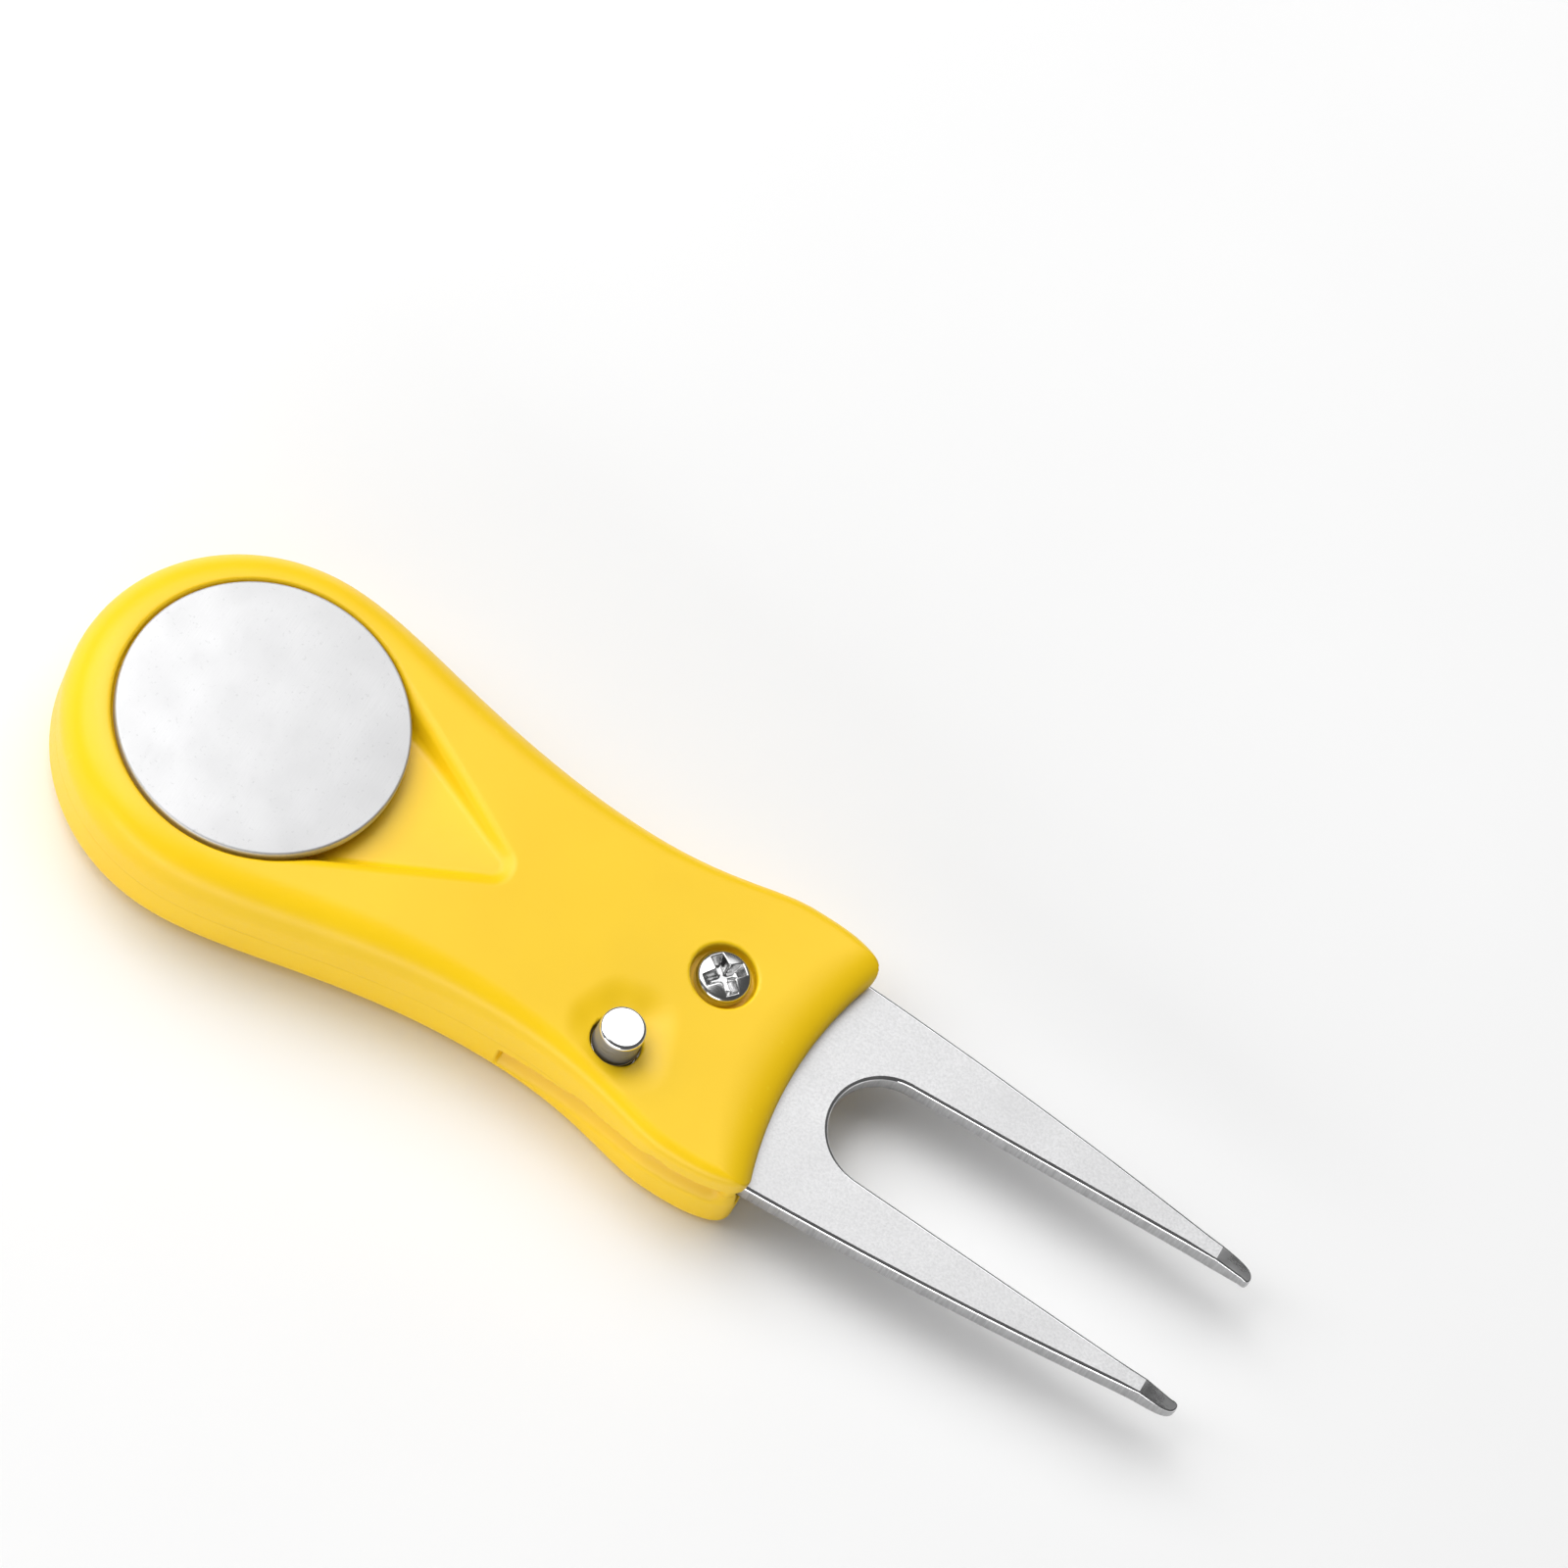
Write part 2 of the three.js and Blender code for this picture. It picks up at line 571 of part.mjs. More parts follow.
const shells = handleShells();
const forkTopZ = FORK.bottomZ + FORK.thickness;

const handle = new THREE.Group();
handle.add(
  named("front_shell", shells.front, yellowPlastic),
  named("back_shell", shells.back, yellowPlastic),
  named("pivot_screw", pivotScrew(), polishedSteel),
  named("pivot_barrel", pivotBarrel(), polishedSteel),
  named("upper_washer", washer(WASHER.upperRadius, forkTopZ + WASHER.gap), nylon),
  named("lower_washer", washer(WASHER.lowerRadius, SLOT.floorZ + WASHER.gap), nylon),
  named("marker_magnet", markerMagnet(), nickelMagnet),
  named("button_spring", buttonSpring(), springSteel),
);

const fork = new THREE.Group();
fork.add(
  named("fork", forkSolid(), beadBlastedSteel),
  named("torsion_spring", torsionSpring(), springSteel),
);

const tool = new THREE.Group();
tool.add(
  handle,
  fork,
  named("lock_button", lockButton(), polishedSteel),
  named("ball_marker", ballMarker(), brushedSteel),
);

export default tool;
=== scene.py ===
"""Looks for the folding divot repair tool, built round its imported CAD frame.

Lengths in the constants and fields below are millimetres in the CAD frame; meshes are in metres.
The moulded handle, the screw and the sleeve are distance fields, negative inside, that are turned
into meshes. The fork is a plate with a rounded skin, and the round pieces are turned.
"""

import math

import bmesh
import bpy
import numpy as np
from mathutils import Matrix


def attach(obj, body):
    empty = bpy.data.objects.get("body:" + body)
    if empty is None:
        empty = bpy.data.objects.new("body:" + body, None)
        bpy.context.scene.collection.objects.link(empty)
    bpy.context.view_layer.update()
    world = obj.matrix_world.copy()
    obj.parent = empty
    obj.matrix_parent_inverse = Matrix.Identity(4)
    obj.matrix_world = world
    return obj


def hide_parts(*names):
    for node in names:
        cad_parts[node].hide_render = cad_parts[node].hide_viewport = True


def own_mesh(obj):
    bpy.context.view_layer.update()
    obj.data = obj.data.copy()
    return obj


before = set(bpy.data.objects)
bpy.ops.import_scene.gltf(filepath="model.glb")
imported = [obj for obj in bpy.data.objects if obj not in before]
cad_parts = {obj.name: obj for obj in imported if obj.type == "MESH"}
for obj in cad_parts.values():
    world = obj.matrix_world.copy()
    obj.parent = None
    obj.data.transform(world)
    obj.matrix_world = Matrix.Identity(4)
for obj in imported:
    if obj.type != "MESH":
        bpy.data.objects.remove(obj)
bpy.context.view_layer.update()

import openvdb
from mathutils import Matrix, Vector
from mathutils.geometry import tessellate_polygon

MM = 0.001
FAR = 99

# ---------------------------------------------------------------- dimensions

# Handle outline, half of it. LEAVING_* are the control points of the curve that leaves a place.
HEAD_LENGTH = 16.6
HEAD_HALF_WIDTH = 16.3
WAIST_X = 32
WAIST_HALF_WIDTH = 11.3
NECK_X = 47.2
NECK_HALF_WIDTH = 13.5
CORNER = (53, 12.75)
CORNER_FRONT_Y = 10.6
FRONT_ARC_X = 89.2
FRONT_ARC_RADIUS = 36.4
LEAVING_FRONT = [(54.75, 12.1)]
LEAVING_CORNER = [(51.4, 13.35), (49.6, NECK_HALF_WIDTH)]
LEAVING_NECK = [(43.6, NECK_HALF_WIDTH), (39.9, WAIST_HALF_WIDTH)]
LEAVING_WAIST = [(18, WAIST_HALF_WIDTH), (8, HEAD_HALF_WIDTH)]

# Handle heights, and edge rounding at the head, the neck and the front corners.
HEAD_TOP_Z = 10.7
NECK_TOP_Z = 9.2
TOP_FALL_X = (15, 50)
SEAM_Z = 5.3
ROLL_LENGTH = 5
ROLL_LIP_Z = 7.3
ROLL_NARROWING = 0.35
TOP_EDGE = (3.6, 1.5, 1)
BACK_EDGE = (2.5, 1.5, 1)
EDGE_CHANGE_X = (10, 54)
OUTLINE_GRID_X = (-20, 58)
OUTLINE_GRID_Y = (0, 20)
HANDLE_LOW = (-18, -17.5, -0.8)
HANDLE_HIGH = (56, 17.5, 11.6)

# Slot for the fork and its tang.
SLOT_HALF_HEIGHT = 1.5
SLOT_TOP_Z = 6.8
SLOT_WALL_Y = -6
NEAR_WALL_Y = -11.55
NEAR_SIDE_Y = -9
SWEEP_RADIUS = 52.2
TANG_ROOM_X = (40.8, 44.5)
TANG_ROOM_SLOPE = 1.057

# Step along the near side: its line climbs from START to END, and NICKS has the middle and
# half-length of each nick in its lip.
STEP_START = (31, 4.3)
STEP_END = (50, 6.8)
STEP_DEPTH = 1.15
STEP_LIP = 0.3
STEP_RETURN = (1.0, 2.9)
STEP_START_LENGTH = 0.4
STEP_FADE_X = (52, 53.5)
STEP_FADE = 0.7
NICKS = [(39, 1.1), (46.7, 0.7)]
NICK_RISE = 0.1
NICK_HALF_HEIGHT = 0.32
NICK_FADE = 0.05
NICK_DEPTH = 1.6

# How much the rim of each kind of cut is rounded.
RAMP_RIM = 0.7
SEAT_RIM = 0.35
CUT_RIM = 0.3
HOLE_RIM = 0.15
INNER_RIM = 0.12
NICK_RIM = 0.06

# Marker, seat, thumb ramp and magnet.
MARKER_RADIUS = 12.5
MARKER_TOP_Z = 11
MARKER_THICKNESS = 1.2
SEAT_RADIUS = 12.75
SEAT_Z = 9.75
RAMP_WALL_RADIUS = 12.4
RAMP_WALL_LEAN = 0.5
RAMP_TIP_X = 22.2
RAMP_TIP_RADIUS = 1.7
RAMP_START = (7, 8.4)
RAMP_END = (23.7, 10)
RAMP_FILLET = 0.45
MAGNET_RADIUS = 6
MAGNET_TOP_Z = 9.7
MAGNET_THICKNESS = 2
MAGNET_ROOM = 0.2

# Pivot stack.
PIVOT = (43.6, 3.05)
SCREW_HEAD_RADIUS = 2.38
SCREW_TOP_Z = 9.9
SCREW_CROWN = 0.09
SCREW_EDGE = 0.38
SCREW_SEAT_Z = 8.1
SCREW_SHANK_RADIUS = 1.3
SCREW_END_Z = 2
SCREW_ROOM = 0.5
CROSS_TURN = 50
CROSS_REACH = (2.1, 0.7)
CROSS_HALF_WIDTH = (0.62, 0.28)
CROSS_FLOOR_Z = 8.6
SLEEVE_RADIUS = 2.3
SLEEVE_BORE = 1.4
SLEEVE_ROOM = 0.05
FLANGE_RADIUS = 3.2
FLANGE_Z = (0.4, 1.2)
DRIVER_SLOT = 0.4
TORSION_POCKET = (3.5, 5.6)
TORSION_POCKET_Z = (2, 4)

# Lock button, its well and the dish that it stands in.
BUTTON = (38.9, -7.28)
BUTTON_RADIUS = 2
BUTTON_TOP_Z = 12.05
BUTTON_STEP_RADIUS = 2.08
BUTTON_STEP_Z = 8.7
COLLAR_RADIUS = 2.8
COLLAR_Z = (4.4, 6.7)
BUTTON_BORE = 1.5
BUTTON_BORE_TOP_Z = 8
BUTTON_HOLE_BOTTOM_Z = 6
BUTTON_WELL_FLOOR_Z = 1.2
COIL_RADIUS = 1.1
COIL_WIRE = 0.35
COIL_TURNS = 6
DISH_FLOOR = [(37.4, -6.9), (38.2, -4.9), (39.6, -4.5), (40.7, -7.8)]
DISH_DEPTH = 0.55
DISH_SLOPE = 3.6
CLEARANCE = 0.25

# Fork. PRONG_OUTER and PRONG_INNER are the terms of each edge's half-width over PRONG_SPAN.
FORK_BOTTOM_Z = 4.3
FORK_TOP_Z = 6.3
PRONG_MIDDLE_X = 75
PRONG_SPAN = 10
PRONG_OUTER = (9.727, -0.943, -0.114)
PRONG_INNER = (5.604, 0.461)
PRONG_OUTER_START_X = 53
PRONG_INNER_START_X = 88
PRONG_STEP = 3
GAP_ROOT = (62.06, 0)
GAP_RADIUS = 5
TIP_RAMP_X = 90.9
TIP_RAMP_Z = 5.5
TIP_X = 94.35
TIP_Y = 6.9
TIP_END_X = 93.6
TIP_OUTSIDE = [(93.3, 7.85), (94.25, 7.75)]
TIP_INSIDE = [(94.35, 6.45), (94.05, 6.35)]
HEEL = [(48, -11.3), (44.7, -11.1), (44.7, -8.3)]
LOCK_RELIEF = [(48, 9.9), (49.8, 9.9), (51.3, 10.8)]
TANG_RADIUS = 7.9
TANG_ANGLES = (260, 75)
TANG_BORE = 2.4
HOOK_HOLE = (39.1, PIVOT[1])
HOOK_HOLE_RADIUS = 0.6
FORK_EDGE = (0.34, 0.16)
FORK_EDGE_X = (88, 92)

# Camera and lights. A softbox has the direction it stands in, its width and height, and its power.
CAMERA_PLACE = (48.73, -324.26, 645.88)
CAMERA_AIM = (39.2545, 22.1044, 8.0)
CAMERA_ROLL = 30.535
CAMERA_LENS = 197.99
LIGHT_AIM = (38, 0, 5)
SOFTBOXES = {
    "key": ((-0.64, 0.05, 0.77), (1.0, 1.0), 8.8),
    "overhead": ((-0.2, 0.45, 0.86), (1.1, 1.0), 5.8),
    "near": ((-0.1, -0.97, 0.2), (1.3, 0.3), 5.2),
}
WORLD_STRENGTH = 0.10
FLOOR_SIZE = 4
FLOOR_DROP = 0.02

# ---------------------------------------------------------------- small maths


def lerp(a, b, t):
    """From a at t = 0 to b at t = 1."""
    return a + (b - a) * t


def smoothstep(x, low, high):
    """0 below low and 1 above high, with a smooth rise between them."""
    t = np.clip((x - low) / (high - low), 0, 1)
    return t * t * (3 - 2 * t)


def bezier(steps, *control):
    """Points of a Bezier curve of any degree, its first point left out."""
    t = np.linspace(0, 1, steps + 1)[1:, None]
    degree = len(control) - 1
    weights = [math.comb(degree, i) * (1 - t) ** (degree - i) * t**i for i in range(degree + 1)]
    return sum(weight * np.array(point, float) for weight, point in zip(weights, control))


def arc(centre, radius, start, end, steps):
    """Points of an arc, both ends included, angles in degrees."""
    angles = np.radians(np.linspace(start, end, steps + 1))
    return np.c_[centre[0] + radius * np.cos(angles), centre[1] + radius * np.sin(angles)]


def round_and(a, b, radius):
    """What is inside both fields, with the edge between them rounded."""
    corner = np.hypot(np.maximum(a + radius, 0), np.maximum(b + radius, 0))
    return np.minimum(-radius, np.maximum(a, b)) + corner


def round_or(a, b, radius):
    """What is inside either field, with the inner corner between them filled."""
    corner = np.hypot(np.maximum(radius - a, 0), np.maximum(radius - b, 0))
    return np.maximum(radius, np.minimum(a, b)) - corner


def carve(body, cutter, rim):
    """The body with a cutter taken out of it and the rim rounded."""
    return round_and(body, -cutter, rim)


def polygon_distance(x, y, corners):
    """Signed distance to a closed polygon, negative inside."""
    shape = np.broadcast(x, y).shape
    nearest = np.full(shape, 1e9)
    inside = np.zeros(shape, bool)
    for (x0, y0), (x1, y1) in zip(corners, np.roll(corners, -1, axis=0)):
        along_x = x1 - x0
        along_y = y1 - y0
        t = ((x - x0) * along_x + (y - y0) * along_y) / (along_x**2 + along_y**2)
        t = np.clip(t, 0, 1)
        nearest = np.minimum(nearest, (x - x0 - t * along_x) ** 2 + (y - y0 - t * along_y) ** 2)
        if along_y:
            crossing = x < x0 + along_x * (y - y0) / along_y
            inside ^= ((y0 > y) != (y1 > y)) & crossing
    return np.where(inside, -1, 1) * np.sqrt(nearest)


# ---------------------------------------------------------------- handle field


def handle_outline():
    """The handle's plan outline, from the middle of the front round the far side."""
    front_angle = math.degrees(math.asin(CORNER_FRONT_Y / FRONT_ARC_RADIUS))
    front = arc((FRONT_ARC_X, 0), FRONT_ARC_RADIUS, 180, 180 - front_angle, 40)
    neck = (NECK_X, NECK_HALF_WIDTH)
    waist = (WAIST_X, WAIST_HALF_WIDTH)
    head = (0, HEAD_HALF_WIDTH)
    angles = np.radians(np.linspace(90, 180, 71)[1:])
    far = np.vstack([
        front,
        bezier(16, front[-1], *LEAVING_FRONT, CORNER),
        bezier(16, CORNER, *LEAVING_CORNER, neck),
        bezier(50, neck, *LEAVING_NECK, waist),
        bezier(80, waist, *LEAVING_WAIST, head),
        np.c_[HEAD_LENGTH * np.cos(angles), HEAD_HALF_WIDTH * np.sin(angles)],
    ])
    near = far[1:-1][::-1] * (1, -1)
    return np.vstack([far, near])


class OutlineField:
    """Signed distance to the handle's outline, kept on a fine grid over its far half."""

    def __init__(self, cell=0.1):
        self.cell = cell
        self.x = np.arange(*OUTLINE_GRID_X, cell)
        self.y = np.arange(*OUTLINE_GRID_Y, cell)
        self.values = polygon_distance(self.x[:, None], self.y[None, :], handle_outline())

    def __call__(self, x, y):
        i = np.clip((x - self.x[0]) / self.cell, 0, len(self.x) - 1.001)
        j = np.clip(abs(y) / self.cell, 0, len(self.y) - 1.001)
        i0 = i.astype(int)
        j0 = j.astype(int)
        across = lerp(self.values[i0, j0], self.values[i0 + 1, j0], i - i0)
        across_next = lerp(self.values[i0, j0 + 1], self.values[i0 + 1, j0 + 1], i - i0)
        return lerp(across, across_next, j - j0)


outline = OutlineField()


def edge_radius(edge, x):
    """How much an edge is rounded at a place along the handle."""
    head, neck, corner = edge
    start, end = EDGE_CHANGE_X
    behind = lerp(head, neck, smoothstep(x, start, NECK_X))
    ahead = np.interp(x, [NECK_X, end], [neck, corner])
    return np.where(x > NECK_X, ahead, behind)


def dish_depth(x, y):
    """How far the soft three-sided thumb dish round the button sinks below the top face."""
    away = np.maximum(polygon_distance(x, y, np.array(DISH_FLOOR)), 0)
    return DISH_DEPTH * (1 - smoothstep(away, 0, DISH_SLOPE))


def top_level(x):
    """Height of the top face, which falls gently from the head to the neck."""
    return lerp(HEAD_TOP_Z, NECK_TOP_Z, smoothstep(x, *TOP_FALL_X))


def top_height(x, y):
    """Height of the top face, the dish included."""
    return top_level(x) - dish_depth(x, y)


def front_roll(x, y, z):
    """The convex roll that takes the top face down to the front lip."""
    length = ROLL_LENGTH * (1 - ROLL_NARROWING * (y / CORNER[1]) ** 2)
    height = top_level(x) - ROLL_LIP_Z
    ahead = FRONT_ARC_RADIUS + length - np.hypot(x - FRONT_ARC_X, y)
    run = np.maximum(ahead / length, 0)
    rise = np.maximum((z - ROLL_LIP_Z) / height, 0)
    reach = np.hypot(run, rise)
    slope = np.hypot(run / length, rise / height) + 1e-6
    curve = (reach - 1) * np.maximum(reach, 0.2) / slope
    return np.where(ahead > 0, curve, z - top_level(x) + ahead)


def slot_field(x, y, z):
    """The slot for the folded fork and its tang, open in front and on the far side."""
    sweep = np.hypot(x - PIVOT[0], y - PIVOT[1]) - SWEEP_RADIUS
    far = np.maximum(sweep, SLOT_WALL_Y - y)
    room_start, room_end = TANG_ROOM_X
    slant = room_start - x + TANG_ROOM_SLOPE * (SLOT_WALL_Y - y)
    slant = slant / math.hypot(1, TANG_ROOM_SLOPE)
    near = np.maximum(np.minimum(slant, room_end - x), NEAR_WALL_Y - y)
    return np.maximum(np.minimum(far, near), abs(z - SEAM_Z) - SLOT_HALF_HEIGHT)


def step_line(x):
    """Height of the line along the near side, which climbs from the waist to the front."""
    return lerp(STEP_START[1], STEP_END[1], smoothstep(x, STEP_START[0], STEP_END[0]))


def near_side(x, y, z, edge):
    """The near side's face: it steps back below the line and comes out again lower down."""
    below = step_line(x) - z
    share = smoothstep(below, 0, STEP_LIP) * (1 - smoothstep(below, *STEP_RETURN))
    start = smoothstep(x, STEP_START[0], STEP_START[0] + STEP_START_LENGTH)
    end = 1 - STEP_FADE * smoothstep(x, *STEP_FADE_X)
    return np.where(y < NEAR_SIDE_Y, edge + STEP_DEPTH * share * start * end, -FAR)


def near_nicks(x, y, z):
    """Two short nicks in the lip above the step."""
    share = sum(np.exp(-((x - middle) / reach) ** 2) for middle, reach in NICKS)
    height = abs(step_line(x) + NICK_RISE - z) - NICK_HALF_HEIGHT * share + NICK_FADE
    return np.maximum(height, np.maximum(-NICK_DEPTH - outline(x, y), y))


def hole(x, y, z, centre, radius, bottom=-FAR, top=FAR):
    """A round vertical hole between two heights."""
    wall = np.hypot(x - centre[0], y - centre[1]) - radius
    return np.maximum(wall, np.maximum(bottom - z, z - top))


def ramp_field(x, y, z):
    """The thumb ramp: a teardrop in plan, with a floor that rises to its point."""
    lean = (RAMP_WALL_RADIUS - RAMP_TIP_RADIUS) / RAMP_TIP_X
    across = math.sqrt(1 - lean**2)
    side = abs(y) * across + x * lean - RAMP_WALL_RADIUS
    along = x * across - abs(y) * lean
    point = np.hypot(x - RAMP_TIP_X, y) - RAMP_TIP_RADIUS
    plan = np.where(along > across * RAMP_TIP_X, point, side)
    slope = (RAMP_END[1] - RAMP_START[1]) / (RAMP_END[0] - RAMP_START[0])
    floor = RAMP_START[1] + slope * (x - RAMP_START[0]) - z
    wall = (plan + RAMP_WALL_LEAN * (HEAD_TOP_Z - z)) / math.hypot(1, RAMP_WALL_LEAN)
    return np.maximum(round_and(wall, floor, RAMP_FILLET), RAMP_START[0] - x)


def handle_field(x, y, z):
    """The whole moulded handle, both shells in one."""
    edge = outline(x, y)
    top = round_and(edge, z - top_height(x, y), edge_radius(TOP_EDGE, x))
    back = round_and(edge, -z, edge_radius(BACK_EDGE, x))
    body = np.maximum(top, back)
    body = np.maximum(body, front_roll(x, y, z))
    middle = (0, 0)
    magnet_floor = MAGNET_TOP_Z - MAGNET_THICKNESS
    magnet_hole = hole(x, y, z, middle, MAGNET_RADIUS + MAGNET_ROOM, magnet_floor)
    screw_hole = hole(x, y, z, PIVOT, SCREW_HEAD_RADIUS + SCREW_ROOM, SCREW_SEAT_Z)
    button_hole = hole(x, y, z, BUTTON, BUTTON_RADIUS + CLEARANCE, BUTTON_HOLE_BOTTOM_Z)
    body = carve(body, ramp_field(x, y, z), RAMP_RIM)
    body = carve(body, hole(x, y, z, middle, SEAT_RADIUS, SEAT_Z), SEAT_RIM)
    body = carve(body, magnet_hole, HOLE_RIM)
    body = carve(body, screw_hole, CUT_RIM)
    body = carve(body, slot_field(x, y, z), CUT_RIM)
    body = np.maximum(body, near_side(x, y, z, edge))
    body = carve(body, near_nicks(x, y, z), NICK_RIM)
    body = carve(body, button_hole, HOLE_RIM)
    for cutter in inner_cutters(x, y, z):
        body = carve(body, cutter, INNER_RIM)
    return body


def inner_cutters(x, y, z):
    """The rooms inside the handle for the button's collar and the pivot stack."""
    in_slot = SEAM_Z - 0.3
    pocket_inner, pocket_outer = TORSION_POCKET
    pocket = hole(x, y, z, PIVOT, pocket_outer, *TORSION_POCKET_Z)
    return [
        hole(x, y, z, BUTTON, COLLAR_RADIUS + CLEARANCE, BUTTON_WELL_FLOOR_Z, SLOT_TOP_Z),
        hole(x, y, z, PIVOT, SCREW_SHANK_RADIUS + CLEARANCE, in_slot),
        hole(x, y, z, PIVOT, FLANGE_RADIUS + CLEARANCE, -FAR, FLANGE_Z[1]),
        hole(x, y, z, PIVOT, SLEEVE_RADIUS + SLEEVE_ROOM, -FAR, in_slot),
        np.maximum(pocket, -hole(x, y, z, PIVOT, pocket_inner)),
    ]


# ---------------------------------------------------------------- fields into meshes


def gradient(field, points, step=0.02):
    """The field's slope at each point, by central differences."""
    columns = []
    for axis in range(3):
        offset = np.zeros(3)
        offset[axis] = step
        ahead = field(*(points + offset).T)
        behind = field(*(points - offset).T)
        columns.append((ahead - behind) / (2 * step))
    return np.stack(columns, axis=1)


def settle(field, points, cell, rounds=4):
    """Moves mesh points onto the field's exact surface."""
    for _ in range(rounds):
        slope = gradient(field, points)
        steepness = np.maximum((slope**2).sum(1), 0.25)
        step = slope * (field(*points.T) / steepness)[:, None]
        length = np.maximum(np.linalg.norm(step, axis=1), 1e-9)
        points = points - step * np.minimum(1, 0.5 * cell / length)[:, None]
    return points


def field_surface(field, low, high, cell):
    """Points in millimetres and faces of a field's surface."""
    axes = [np.arange(a, b + cell, cell) for a, b in zip(low, high)]
    values = field(*np.meshgrid(*axes, indexing="ij", sparse=True))
    band = 3 * cell
    grid = openvdb.FloatGrid(background=band)
    grid.copyFromArray(np.ascontiguousarray(np.clip(values, -band, band), np.float32))
    points, triangles, quads = grid.convertToPolygons(isovalue=0.0, adaptivity=0.0)
    points = np.array(low) + points.astype(float) * cell
    faces = [face[::-1].tolist() for face in quads] + [face[::-1].tolist() for face in triangles]
    return settle(field, points, cell), faces


def mesh_of(name, points, faces):
    """A mesh in metres from points in millimetres."""
    mesh = bpy.data.meshes.new(name)
    mesh.from_pydata((np.asarray(points, float) * MM).tolist(), [], faces)
    mesh.validate()
    mesh.update()
    return mesh


def face_out(mesh):
    """Turns a closed mesh so that its faces point out."""
    work = bmesh.new()
    work.from_mesh(mesh)
    if work.calc_volume(signed=True) < 0:
        bmesh.ops.reverse_faces(work, faces=work.faces)
    work.to_mesh(mesh)
    work.free()
    return mesh


def shade_by_field(mesh, field, least_match=0.93):
    """Smooth shading with the field's own normals.

    Where they stray too far from the mesh's they are left out, and so they are on a seam's cut."""
    mesh.polygons.foreach_set("use_smooth", np.ones(len(mesh.polygons), bool))
    co = np.zeros(len(mesh.vertices) * 3)
    mesh.vertices.foreach_get("co", co)
    slope = gradient(field, co.reshape(-1, 3) / MM)
    slope /= np.maximum(np.linalg.norm(slope, axis=1), 1e-9)[:, None]
    mean = np.zeros(len(mesh.vertices) * 3)
    mesh.vertex_normals.foreach_get("vector", mean)
    mean = mean.reshape(-1, 3)
    astray = (slope * mean).sum(1) < least_match
    slope[astray] = mean[astray]
    corner_vertex = np.zeros(len(mesh.loops), int)
    mesh.loops.foreach_get("vertex_index", corner_vertex)
    normals = slope[corner_vertex]
    for face in mesh.polygons:
        if len(face.vertices) == 3 and on_seam(mesh, face):
            normals[face.loop_start : face.loop_start + 3] = face.normal
    mesh.normals_split_custom_set(normals.tolist())


def on_seam(mesh, face):
    """Whether a face lies in the cut between the shells."""
    return all(abs(mesh.vertices[i].co.z - SEAM_Z * MM) < 1e-7 for i in face.vertices)


def half_of(mesh, name, keep_above):
    """One shell: the part of the handle above or below the seam, its cut closed."""
    work = bmesh.new()
    work.from_mesh(mesh)
    geometry = work.verts[:] + work.edges[:] + work.faces[:]
    cut = bmesh.ops.bisect_plane(
        work,
        geom=geometry,
        dist=1e-7,
        plane_co=(0, 0, SEAM_Z * MM),
        plane_no=(0, 0, 1),
        clear_inner=keep_above,
        clear_outer=not keep_above,
    )
    rim = [item for item in cut["geom_cut"] if isinstance(item, bmesh.types.BMEdge)]
    rim = [edge for edge in rim if edge.is_valid and len(edge.link_faces) == 1]
    outward = -1 if keep_above else 1
    bmesh.ops.triangle_fill(work, edges=rim, use_beauty=True, normal=(0, 0, outward))
    half = bpy.data.meshes.new(name)
    work.to_mesh(half)
    work.free()
    return half


def sharpen(mesh, degrees=32):
    """Smooth shading with a sharp edge wherever two faces meet at more than an angle."""
    mesh.polygons.foreach_set("use_smooth", np.ones(len(mesh.polygons), bool))
    mesh.set_sharp_from_angle(angle=math.radians(degrees))
    return mesh


# ---------------------------------------------------------------- turned and flat pieces


def rounded_profile(corners, steps=5):
    """A profile of (radius, z, rounding) corners with each corner rounded."""
    points = []
    count = len(corners)
    for i, (r, z, rounding) in enumerate(corners):
        here = Vector((r, z))
        if not rounding:
            points.append(tuple(here))
            continue
        before = (Vector(corners[i - 1][:2]) - here).normalized()
        after = (Vector(corners[(i + 1) % count][:2]) - here).normalized()
        half_angle = before.angle(after) / 2
        setback = rounding / math.tan(half_angle)
        centre = here + (before + after).normalized() * (rounding / math.sin(half_angle))
        first = here + before * setback - centre
        turn = first.angle_signed(here + after * setback - centre)
        for k in range(steps + 1):
            spoke = first.copy()
            spoke.rotate(Matrix.Rotation(-turn * k / steps, 2))
            points.append(tuple(centre + spoke))
    return points


def turned(name, centre, corners, segments=96):
    """A closed solid of revolution from a profile that runs from the axis to the axis."""
    profile = rounded_profile(corners)
    points = []
    rings = []
    for r, z in profile:
        if r < 1e-6:
            rings.append([len(points)] * segments)
            points.append((centre[0], centre[1], z))
            continue
        rings.append(list(range(len(points), len(points) + segments)))
        for x, y in arc(centre, r, 0, 360, segments)[:-1]:
            points.append((x, y, z))
    faces = []
    for lower, upper in zip(rings, rings[1:]):
        for i in range(segments):
            j = (i + 1) % segments
            face = list(dict.fromkeys([lower[i], lower[j], upper[j], upper[i]]))
            if len(face) > 2:
                faces.append(face)
    return sharpen(face_out(mesh_of(name, points, faces)))


